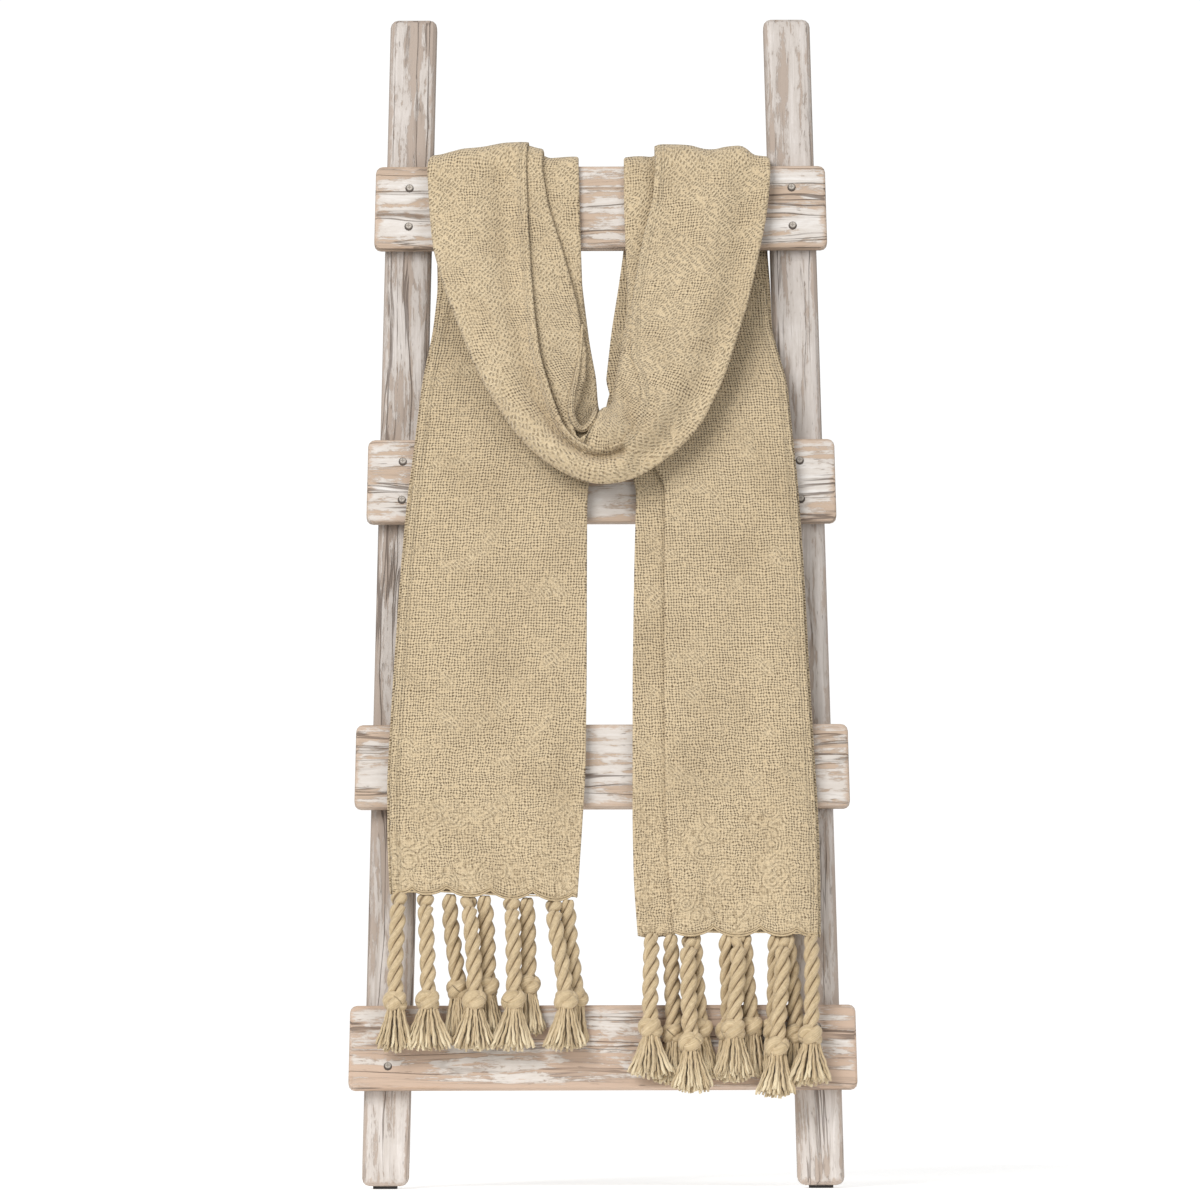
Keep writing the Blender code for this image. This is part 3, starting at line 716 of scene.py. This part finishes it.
def ripple(share, travel, throwLength):
    # soft valleys that run down the throw, the same in every layer of a section
    fromEnd = min(travel, throwLength - travel)
    toHem = max(0.0, 1.0 - fromEnd / 0.45)
    leftSide = travel < throwLength / 2
    phase = 0.4 if leftSide else 2.1
    wander = 0.5 * math.sin(travel * 9.0 + phase)
    valley = np.sin(share * 13.0 + wander + phase) + 0.6 * np.sin(share * 21.0 - wander * 1.6 + 1.3)
    swagShare = max(0.0, 1.0 - abs(travel - throwLength / 2) / 0.42)
    crease = np.sin(share * 19.0 + travel * 6.0) * 0.4 + np.sin(share * 10.5 - travel * 5.0 + 0.7)
    return valley * (0.0006 + 0.0016 * toHem) + crease * 0.0021 * swagShare


def throwCourse():
    stations = tailStations(leftTail, -1) + overStations(overLeft, -1) + swagStations()
    stations += overStations(overRight, 1)[::-1] + tailStations(rightTail, 1)[::-1]
    stations = np.array(stations)
    middle = np.stack([(stations[:, 0] + stations[:, 2]) / 2, stations[:, 4],
                       (stations[:, 1] + stations[:, 3]) / 2], 1)
    travel = runOf(middle)
    steps = np.linspace(0.0, travel[-1], throwLook["rows"])
    rows = resampled(steps, travel, stations)
    spread = throwLook["smoothing"] / (steps[1] - steps[0])
    rows[:, :9] = smoothed(rows[:, :9], spread)
    rows[:, 14:] = smoothed(rows[:, 14:], spread)       # only the folds stay as they are
    return steps, rows


def throwGrid():
    # ladder places (across, depth, climb) of every sample, and their places on the flat cloth
    steps, rows = throwCourse()
    places, cloth = [], []
    for travel, row in zip(steps, rows):
        outer, inner, depth = row[0:2], row[2:4], row[4]
        facing = row[5:7] / np.linalg.norm(row[5:7])
        width = np.linalg.norm(inner - outer)
        share, offset = foldedSection(width, row[7:9], row[9:14], row[14])
        offset = offset + ripple(share, travel, steps[-1])
        leftSide = travel < steps[-1] / 2
        level = np.clip((offset - offset.min()) / np.ptp(offset), 0.0, 1.0)
        offset = offset + row[15] * humpOf(share, offset, -1 if leftSide else 1)
        across = outer[0] + (inner[0] - outer[0]) * share
        ahead = max(0.0, -facing[0]) ** 4             # only where the cloth hangs in front as the swag
        offset = offset + ahead * frontValleys(share, row[9], level, leftSide)
        down = topCrest - outer[1] - (inner[1] - outer[1]) * share
        offset = offset + ahead * level * dentLift(across, down)
        climb = outer[1] + (inner[1] - outer[1]) * share + offset * facing[1]
        places.append(np.stack([across, depth + offset * facing[0], climb], 1))
        run = np.concatenate([[0.0], np.cumsum(np.hypot(np.diff(share * width), np.diff(offset)))])
        cloth.append(np.stack([share * width, np.full(len(run), travel),
                               np.minimum(run, run[-1] - run)], 1))
    return steps, np.array(places), np.array(cloth)


def tasselTops(side, front):
    # where the tassels of one row leave a hem, from left to right
    hangs = [tasselPlace(node) for node in frame["nodes"] if node.startswith(side + "_tassel_")]
    return sorted(hang["top"][0] for hang in hangs if hang["front"] == front)


def tasselPlace(node):
    # where a tassel leaves the hem, and where its brush ends, from its CAD solid
    places = np.array([ladderPlace(corner) for corner in cornersOf(node)])
    end, start = places[:, 2].min(), places[:, 2].max()
    top = places[places[:, 2] > start - 0.003].mean(0)
    foot = places[places[:, 2] < end + 0.003].mean(0)
    return {"top": top, "foot": foot, "rowDepth": foot[1], "front": foot[1] < frontRow, "end": end,
            "start": start}


hemSlope = {"left": (0.0026, -0.2146, -0.050), "right": (0.0, 0.0370, 0.0)}   # lift, at, lift per metre


def hemRise(across, side):
    lift, start, slope = hemSlope[side]
    return lift + slope * (across - start)


def scallopLift(across, tops):
    # the hem is lowest where a tassel pulls it, and rises to a notch between two
    tops = np.array([tops[0] - 0.040, *tops, tops[-1] + 0.040])
    place = np.clip(np.searchsorted(tops, across) - 1, 0, len(tops) - 2)
    spacing = tops[place + 1] - tops[place]
    share = np.clip((across - tops[place]) / spacing, 0.0, 1.0)
    notch = 1.0 - np.abs(np.cos(math.pi * share)) ** 0.62
    return notch * np.minimum(spacing / tasselPitch, 1.1)


def frontLayerStart():
    counts, turn = throwLook["samples"], throwLook["turnSamples"]
    return sum(counts[:4]) + 4 * turn - turn // 2


def scallopHem(places, side):
    # places: the grid with the hem's row first
    start = frontLayerStart()
    frontTops, backTops = tasselTops(side, True), tasselTops(side, False)
    frontLift = scallopLift(places[0, start:, 0], frontTops) * throwLook["scallop"]
    behind = places[0, :start, 0]
    covered = (behind > places[0, start:, 0].min() - 0.001) & (behind < places[0, start:, 0].max() + 0.001)
    shown = scallopLift(behind, sorted(frontTops + backTops)) * 0.6 * throwLook["scallop"]
    backLift = np.where(covered, throwLook["backHemLift"], shown)
    lift = np.concatenate([backLift, frontLift]) + hemRise(places[0, :, 0], side)
    hem = places[0, :, 2].mean()
    for row in range(len(places)):
        share = max(0.0, 1.0 - (places[row, :, 2].mean() - hem) / throwLook["hemFade"])
        if share <= 0.0:
            break
        places[row, :, 2] += lift * share ** 1.5


def gridMesh(name, places, cloth):
    rows, columns = places.shape[:2]
    points = [ladderPoint(*place) for place in places.reshape(-1, 3).tolist()]
    faces = [(row * columns + column, row * columns + column + 1,
              (row + 1) * columns + column + 1, (row + 1) * columns + column)
             for row in range(rows - 1) for column in range(columns - 1)]
    mesh = bpy.data.meshes.new(name)
    mesh.from_pydata(points, [], faces)
    addPlaces(mesh, "clothPlace", cloth.reshape(-1, 3))
    mesh.shade_smooth()
    return mesh


def addPlaces(mesh, name, values):
    attribute = mesh.attributes.new(name, "FLOAT_VECTOR", "POINT")
    attribute.data.foreach_set("vector", np.asarray(values, np.float32).ravel())


def linked(name, mesh, material):
    piece = bpy.data.objects.new(name, mesh)
    bpy.context.scene.collection.objects.link(piece)
    mesh.materials.append(material)
    return piece


def crepeCotton():
    cotton = Finish("crepe_cotton", roughness=0.88)
    yarnTone, light, deep = tones(throwLook, "yarn", "yarnLight", "yarnDeepAndShade")
    across, along, edge = cotton.stored("clothPlace")
    fromMiddle = abs(along - throwLook["flat"][1] / 2)
    pitch = 2 * math.pi / throwLook["weave"]
    plan = cotton.joined(across, along)
    # the swag is pulled on the bias, so its cells slant and crinkle more than the tails'
    pulled = fromMiddle.ease(0.56, 0.40)
    wanderA = cotton.noise(plan, scale=74.0, detail=3.0, roughness=0.62)
    wanderB = cotton.noise(cotton.joined(across + 3.1, along + 7.7), scale=74.0, detail=3.0, roughness=0.62)
    crinkle = 13.0 + pulled * 5.0 + fromMiddle.ease(0.86, 1.12) * 8.0
    warp = (across * pitch + (wanderA - 0.5) * crinkle).sine() * 0.5 + 0.5
    weft = (along * pitch + (wanderB - 0.5) * crinkle).sine() * 0.5 + 0.5
    bias = ((across + along) * pitch * 0.66 + (wanderA - wanderB) * 12.0).sine() * 0.5 + 0.5
    biasGate = ((across - along) * pitch * 0.40 + (wanderB - 0.5) * 24.0).sine() * 0.5 + 0.5
    slant = cotton.noise(cotton.joined(across + 5.3, along + 1.9), scale=30.0, detail=2.0)
    slanted = (slant + pulled * 0.14).ease(0.52, 0.70)
    # painted shade: dark pinholes where the gaps between yarns cross, dark dashes in the small wrinkles
    # where the cloth is pulled
    pinhole = (warp * weft).ease(0.24, 0.88)
    gap = warp.most(weft).ease(0.70, 1.0)
    dash = bias.ease(0.52, 0.98) * biasGate.ease(0.15, 0.60)
    yarn = cotton.noise(cotton.joined(across * 1500.0, along * 1500.0), detail=2.0)
    mottle = cotton.noise(plan, scale=210.0, detail=3.0, roughness=0.6)
    straight = pinhole * 0.84 + gap * 0.32
    shadedHollow = straight * (1.0 - slanted * 0.85) + dash * slanted * 0.66
    # crochet rosettes worked in a band above each hem
    middles = cotton.node("ShaderNodeTexVoronoi", {"feature": "F1"},
                          {"Vector": plan, "Scale": 56.0, "Randomness": 0.75}, "Distance")
    rings = (middles * 32.0 + (wanderA + wanderB - 1.0) * 7.0).sine().ease(0.20, 0.95)
    band = fromMiddle.ease(1.020, 1.085) * slant.ease(0.38, 0.56)
    shadedHollow = shadedHollow * (1.0 - band * 0.50) + rings * band * 0.44
    shadedHollow = shadedHollow * mottle.ease(0.26, 0.60)
    cloud = cotton.noise(plan, scale=13.0, detail=3.0)
    seam = abs(edge - 0.0085).ease(0.0016, 0.0004) + abs(edge - 0.0055).ease(0.0014, 0.0004)
    # painted highlight along the crests beside the pulled dashes
    crestWithHighlight = (1.0 - bias).ease(0.45, 0.95) * slanted * biasGate.ease(0.10, 0.55)
    colour = cotton.mix(yarn.ease(0.40, 0.75) * 0.55 + (mottle - 0.40), yarnTone, light)
    colour = cotton.mix(crestWithHighlight * 0.42, colour, light)
    # painted shade in the hollows of the weave, the wrinkles and the rosettes
    colour = cotton.mix(shadedHollow.clamped() * 0.94, colour, deep)
    colour = cotton.mix(cloud.ease(0.42, 0.72) * 0.14, colour, deep)
    # painted shade in creases and where layers lie close, from the occlusion node
    colour = cotton.mix(cotton.shaded(0.016, 6).ease(0.80, 0.30) * 0.42, colour, deep)
    height = seam * 0.9 + yarn * 0.35 + mottle * 0.5 + crestWithHighlight * 0.5 - shadedHollow * 1.5
    cotton.shader.inputs["Sheen Weight"].default_value = 0.18
    cotton.shader.inputs["Sheen Roughness"].default_value = 0.5
    return cotton.shade(colour, 0.80 + yarn * 0.15, cotton.bump(height, 0.0013, 0.9))


def makeThrow(material):
    steps, places, cloth = throwGrid()
    scallopHem(places, "left")
    scallopHem(places[::-1], "right")
    mesh = gridMesh("throw_cloth", places, cloth)
    throw = linked("throw_cloth", mesh, material)
    solid = throw.modifiers.new("thickness", "SOLIDIFY")
    solid.thickness = throwLook["thickness"]
    solid.offset = 0.0
    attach(throw, "ladder")
    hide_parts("throw")
    print("throw hung:", round(float(steps[-1]), 3), "m along its course")
    return throw, places


cotton = crepeCotton()
throwCloth, throwPlaces = makeThrow(cotton)


# The tassels. Each is a rope out of the hem, an overhand knot and a brush of loose strands.

tasselLook = {
    "ropeRadius": 0.0086,
    "strandShare": 0.488,        # a strand's radius against the rope's
    "lay": 0.052,                # one full turn of the rope
    "settle": 0.030,             # length over which it reaches its row
    "intoBackHem": 0.0025,
    "intoHem": 0.004,            # how far the rope starts above the hem's lowest edge
    "knotMiddle": 0.053,         # the knot's middle above the brush's end
    "knotRing": 0.0046,
    "knotWeave": 0.0026,
    "knotRope": 0.0062,
    "knotHeight": 0.0048,
    "hitchMiddle": (0.0, -0.0006, -0.0098),      # the ball, from the rope's top
    "hitchWide": 0.0190,
    "hitchTall": 0.0160,
    "hitchTurn": 120.0,          # radians a metre
    "neck": 0.58,                # the rope inside the ball, as a share of its radius
    "belowHitch": (0.0155, 0.0205),      # where it widens again
    "brushStrands": 58,
    "brushStrand": 0.00138,
    "brushTop": 0.0078,
    "brushSpread": 0.0232,
    "backSpread": 0.78,          # of a back brush against a front one's
    "goldenAngle": 2.399963,     # fills the bundle evenly
    "brushDepth": 0.42,          # the brush is flattened against the ladder
    "yarn": (180, 158, 121),
    "yarnLight": (204, 184, 150),
    # deep tone, also used for painted shade between strands
    "yarnDeepAndShade": (96, 72, 42),
    "yarnTip": (236, 220, 186),
}
# back tassels whose rope starts aside, tucked behind a front one
tuckedTops = {
    "right_tassel_4": -0.0085,
    "right_tassel_5": 0.0025,
    "right_tassel_7": -0.0075,
    "right_tassel_8": 0.0070,
    "right_tassel_10": -0.0090,
}


class Shape:
    # gathers tubes into one mesh, with each point's place along and around its yarn
    def __init__(self):
        self.points, self.faces, self.yarn, self.hollows = [], [], [], []

    def tube(self, path, radii, sides, turn=0.0, lobes=0, lobeShare=0.0, tint=0.0, tip=0.0):
        angles = np.arange(sides) * math.tau / sides
        path = np.asarray(path, float)
        profile = lobeProfile(angles, lobes, lobeShare) if lobes else np.ones(sides)
        # how far a point lies down between strands; the yarn's colour paints shade there
        shadedHollow = np.clip((1.0 - profile) / max(1.0 - profile.min(), 1e-6), 0.0, 1.0)
        tangents = np.gradient(path, axis=0)
        tangents /= np.linalg.norm(tangents, axis=1)[:, None]
        side = np.cross(tangents[0], (0.0, 0.31, 0.95) if abs(tangents[0][2]) < 0.9 else (0.0, 1.0, 0.0))
        side /= np.linalg.norm(side)
        run = runOf(path)
        base = len(self.points)
        for place, tangent, radius, gone in zip(path, tangents, radii, run):
            side = side - tangent * side.dot(tangent)       # carried along without twisting
            side /= np.linalg.norm(side)
            other = np.cross(tangent, side)
            around = angles + turn * gone
            reachOut = radius * profile
            ring = place + np.outer(np.cos(around) * reachOut, side)
            ring = ring + np.outer(np.sin(around) * reachOut, other)
            self.points += ring.tolist()
            self.yarn += [(angle * radius, gone, tint) for angle in angles]
            self.hollows += [(deep, tip * gone / run[-1], 0.0) for deep in shadedHollow]
        count = len(path)
        for row in range(count - 1):
            for step in range(sides):
                first, second = base + row * sides + step, base + row * sides + (step + 1) % sides
                self.faces.append((first, second, second + sides, first + sides))
        self.faces.append(tuple(base + step for step in reversed(range(sides))))
        self.faces.append(tuple(base + (count - 1) * sides + step for step in range(sides)))

    def mesh(self, name):
        mesh = bpy.data.meshes.new(name)
        mesh.from_pydata([ladderPoint(*point) for point in self.points], [], self.faces)
        addPlaces(mesh, "yarnPlace", self.yarn)
        addPlaces(mesh, "yarnHollow", self.hollows)
        shape = bmesh.new()
        shape.from_mesh(mesh)
        bmesh.ops.recalc_face_normals(shape, faces=shape.faces)
        shape.to_mesh(mesh)
        shape.free()
        mesh.shade_smooth()
        return mesh


def lobeProfile(angles, lobes, strandShare):
    # outline of strands laid round each other, as a share of the rope's radius
    middle = 1.0 - strandShare
    nearest = (angles * lobes / math.tau + 0.5) % 1.0 - 0.5
    swing = nearest * math.tau / lobes
    return middle * np.cos(swing) + np.sqrt(np.maximum(strandShare**2 - (middle * np.sin(swing)) ** 2, 0.0))


def addRope(shape, top, end, rowDepth, hitched, rng):
    # from inside the hem down into the knot
    count = 60
    share = np.linspace(0.0, 1.0, count)
    length = top[2] - end[2]
    sway = rng.uniform(-0.0016, 0.0016) * np.sin(math.pi * share)
    settled = eased(share * length, 0.0, tasselLook["settle"])
    path = np.stack([top[0] + (end[0] - top[0]) * eased(share, 0.0, 1.0) + sway,
                     top[1] + (rowDepth - top[1]) * settled,
                     top[2] + (end[2] - top[2]) * share], 1)
    radius = tasselLook["ropeRadius"] * rng.uniform(0.96, 1.04)
    gone = share * length
    if hitched:
        neck = tasselLook["neck"] + (1.0 - tasselLook["neck"]) * eased(gone, *tasselLook["belowHitch"])
    else:
        neck = 1.0 - 0.4 * np.exp(-gone / 0.005)
    radii = radius * neck
    radii = radii * (1 + 0.03 * np.sin(share * 31.0 + top[0] * 90))
    shape.tube(path, radii, 42, math.tau / tasselLook["lay"], 3, tasselLook["strandShare"],
               tint=rng.uniform(-1, 1))


def addHitch(shape, top, rng):
    # the ball where the rope is hitched to the hem: a round bundle of two turns
    share = np.linspace(-0.97, 0.97, 18)
    tall, wide = tasselLook["hitchTall"] / 2, tasselLook["hitchWide"] / 2 * rng.uniform(0.94, 1.06)
    path = top + np.array(tasselLook["hitchMiddle"]) + np.outer(-share * tall, (0.0, 0.0, 1.0))
    turn = rng.choice((-1, 1)) * tasselLook["hitchTurn"]
    shape.tube(path, wide * np.sqrt(1.0 - share**2) ** 0.8, 30, turn, 2, 0.66, tint=rng.uniform(-1, 1))


def addKnot(shape, middle, rng):
    # one rope over and under itself
    count = 96
    t = np.linspace(0.0, math.tau, count)
    start = rng.uniform(0.0, math.tau)
    ring = tasselLook["knotRing"] + tasselLook["knotWeave"] * np.cos(3 * t)
    path = np.stack([middle[0] + ring * np.cos(2 * t + start),
                     middle[1] + ring * np.sin(2 * t + start) * 0.82,
                     middle[2] + tasselLook["knotHeight"] * np.sin(3 * t)], 1)
    shape.tube(path, np.full(count, tasselLook["knotRope"]), 16, 60.0, tint=rng.uniform(-1, 1))


def addBrush(shape, top, end, spread, rng):
    # loose strands of unlaid yarn, fanned out and flattened
    strands = tasselLook["brushStrands"]
    for strand in range(strands):
        angle = strand * tasselLook["goldenAngle"] + rng.uniform(-0.25, 0.25)
        out = math.sqrt((strand + 0.5) / strands)
        length = (top[2] - end[2]) * rng.uniform(0.90, 1.02) * (1.0 - 0.10 * out * out)
        foot = np.array([end[0] + spread * out * math.cos(angle),
                         end[1] + spread * out * math.sin(angle) * tasselLook["brushDepth"],
                         top[2] - length])
        head = np.array([top[0] + tasselLook["brushTop"] * out * math.cos(angle),
                         top[1] + tasselLook["brushTop"] * out * math.sin(angle) * 0.8, top[2]])
        share = np.linspace(0.0, 1.0, 9)
        flare = share ** 1.25
        bend = rng.uniform(-0.0016, 0.0016)
        path = head + np.outer(flare, foot - head)
        path[:, 2] = head[2] + (foot[2] - head[2]) * share
        path[:, 0] += bend * np.sin(math.pi * share) + 0.0005 * np.sin(share * 19 + strand)
        thick = tasselLook["brushStrand"] * rng.uniform(0.85, 1.25)
        radii = thick * (0.9 + 0.25 * share)
        radii[-1] *= 0.72
        shape.tube(path, radii, 6, 60.0, tint=rng.uniform(-1, 1), tip=1.0)


def spunCotton():
    # rope and brush yarn: fine fibres along each strand, with painted shade in a deep colour between strands
    # and where the turns lie close
    yarn = Finish("spun_cotton_rope", roughness=0.86)
    base, light, deep, tip = tones(tasselLook, "yarn", "yarnLight", "yarnDeepAndShade", "yarnTip")
    around, along, tint = yarn.stored("yarnPlace")
    grooveShade, gone = yarn.stored("yarnHollow")[:2]
    fibre = yarn.noise(yarn.joined(around * 1300.0, along * 60.0, tint * 40.0), detail=3.0, roughness=0.6)
    fluff = yarn.noise(yarn.place(), scale=260.0, detail=3.0)
    tone = yarn.mix(fibre.ease(0.30, 0.68), base, light)
    tone = yarn.mix(fluff.ease(0.40, 0.75) * 0.22, tone, deep)
    # painted shade where strands and the knot's turns lie close
    tone = yarn.mix(yarn.shaded(0.0035, 8).ease(0.72, 0.22) * 0.62, tone, deep)
    # painted shade in the grooves between strands
    tone = yarn.mix(grooveShade.ease(0.62, 1.0) * 0.80, tone, deep)
    tone = yarn.mix(gone.ease(0.30, 1.0) * tint.ease(-0.5, 0.8) * 0.80, tone, tip)
    yarn.shader.inputs["Sheen Weight"].default_value = 0.2
    return yarn.shade(tone, 0.78 + fibre * 0.16, yarn.bump(fibre * 0.8 + fluff * 0.3, 0.0006, 0.8))


def makeTassel(node, body, material, seed):
    rng = random.Random(seed)
    hang = tasselPlace(node)
    rowDepth, front = hang["rowDepth"], hang["front"]
    side = node.split("_")[0]
    tops = tasselTops(side, True)
    plain = side == "right" and hang["top"][0] in (tops[0], tops[-1])      # these two have no ball
    top = np.array(hang["top"]) + np.array([tuckedTops.get(node, 0.0), 0.0, 0.0])
    top[2] = hang["start"] + tasselLook["intoHem" if front else "intoBackHem"] + hemRise(top[0], side)
    foot = np.array([hang["foot"][0], rowDepth, hang["end"]])
    knot = foot + np.array([0.0, 0.0, tasselLook["knotMiddle"]])
    shape = Shape()
    hitched = front and not plain
    addRope(shape, top, knot, rowDepth, hitched, rng)
    if hitched:
        addHitch(shape, top, rng)
    addKnot(shape, knot, rng)
    spread = tasselLook["brushSpread"] * rng.uniform(0.88, 1.12)
    if not front:
        spread *= tasselLook["backSpread"]
    lean = rng.uniform(-0.004, 0.004)
    addBrush(shape, knot - np.array([0.0, 0.0, 0.006]), foot + np.array([lean, 0.0, 0.0]), spread, rng)
    name = node.replace("_tassel_", "_tassel_rope_")
    tassel = linked(name, shape.mesh(name), material)
    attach(tassel, body)
    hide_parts(node)
    return tassel


ropeFinish = spunCotton()
for seed, nodeName in enumerate(sorted(name for name in frame["nodes"] if "_tassel_" in name)):
    fringe = nodeName.split("_")[0] + "_fringe"
    makeTassel(nodeName, fringe, ropeFinish, 100 + seed)


# The hems' cords and the rolled selvedge.

hemLook = {
    "cord": 0.00105,
    "thread": 0.00075,
    "secondCord": 0.0024,        # above the edge cord
    "bridge": 0.0075,            # half of the thread across a notch
    "twist": 500.0,              # radians a metre
}
rollLook = {
    "radius": 0.0040,
    "proud": 0.0006,
    "behindFront": 0.0040,
    "path": ((-0.0190, 0.172), (-0.0200, 0.198), (-0.0240, 0.226), (-0.0305, 0.250), (-0.0335, 0.268),
             (-0.0280, 0.2835), (-0.0185, 0.2870), (-0.0100, 0.2815), (-0.0062, 0.2700), (-0.0054, 0.2590)),
}


def finishThrowPiece(shape, name, material):
    piece = linked(name, shape.mesh(name), material)
    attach(piece, "ladder")
    return piece


def makeHemCord(side, hemRow):
    # a corded edge on the front layer's scallops, with a straighter thread across each notch
    edge = hemRow[frontLayerStart():]
    edge = edge[np.argsort(edge[:, 0])]
    edge = edge + np.array([0.0, -0.0010, 0.0])
    shape = Shape()
    fine = np.linspace(edge[0, 0], edge[-1, 0], 240)
    path = resampled(fine, edge[:, 0], edge)
    shape.tube(path, np.full(len(path), hemLook["cord"]), 10, hemLook["twist"])
    second = path + np.array([0.0, -0.0003, hemLook["secondCord"]])
    shape.tube(second, np.full(len(path), hemLook["thread"]), 8, hemLook["twist"])
    tops = [top for top in tasselTops(side, True) if edge[0, 0] < top < edge[-1, 0]]
    for first, second in zip(tops, tops[1:]):
        middle = (first + second) / 2
        half = hemLook["bridge"] * min((second - first) / tasselPitch, 1.0)
        ends = np.array([middle - half, middle, middle + half])
        bridge = resampled(ends, edge[:, 0], edge)
        bridge[1, 2] = bridge[[0, 2], 2].mean()
        bridge[:, 1] -= 0.0006
        bridge = resampled(np.linspace(0, 2, 9), range(3), bridge)
        shape.tube(bridge, np.full(len(bridge), hemLook["thread"]), 8, hemLook["twist"])
    return finishThrowPiece(shape, side + "_hem_cord", ropeFinish)


def makeSelvedgeRoll(places):
    # the second pleat's stitched selvedge rolls up into a small hook at the foot of the swag
    hidden = places[:, :frontLayerStart()].reshape(-1, 3)
    turned = np.array(rollLook["path"])
    run = np.linspace(0.0, len(turned) - 1.0, 90)
    path = smoothed(resampled(run, range(len(turned)), turned), 4.0)
    spine = []
    for across, down in path:
        climb = topCrest - down
        near = np.hypot(hidden[:, 0] - across, hidden[:, 2] - climb) < 0.005
        behind = hidden[near & (hidden[:, 1] > swagFront + rollLook["behindFront"])]
        spine.append((across, behind[:, 1].min() if len(behind) else np.nan, climb))
    spine = np.array(spine)
    known = ~np.isnan(spine[:, 1])
    spine[:, 1] = np.interp(np.arange(len(spine)), np.flatnonzero(known), spine[known, 1])
    spine = smoothed(spine, 6.0)
    spine[:, 1] -= rollLook["proud"]
    share = np.linspace(0.0, 1.0, len(spine))
    radii = rollLook["radius"] * np.sin(math.pi * np.clip(0.06 + 0.90 * share, 0.0, 1.0)) ** 0.35
    radii = radii * (0.55 + 0.45 * eased(share, 0.05, 0.55))
    shape = Shape()
    shape.tube(spine, radii, 20)
    roll = finishThrowPiece(shape, "selvedge_roll", cotton)
    around, along = np.array(shape.yarn)[:, 0], np.array(shape.yarn)[:, 1]
    addPlaces(roll.data, "clothPlace", np.stack([around, along, 0.0040 + np.abs(around - 0.010)], 1))
    return roll


swagFront = throwPlaces[:, :, 1].min()
hemPieces = [makeHemCord("left", throwPlaces[0]), makeHemCord("right", throwPlaces[-1])]
hemPieces.append(makeSelvedgeRoll(throwPlaces))
print("hems corded")
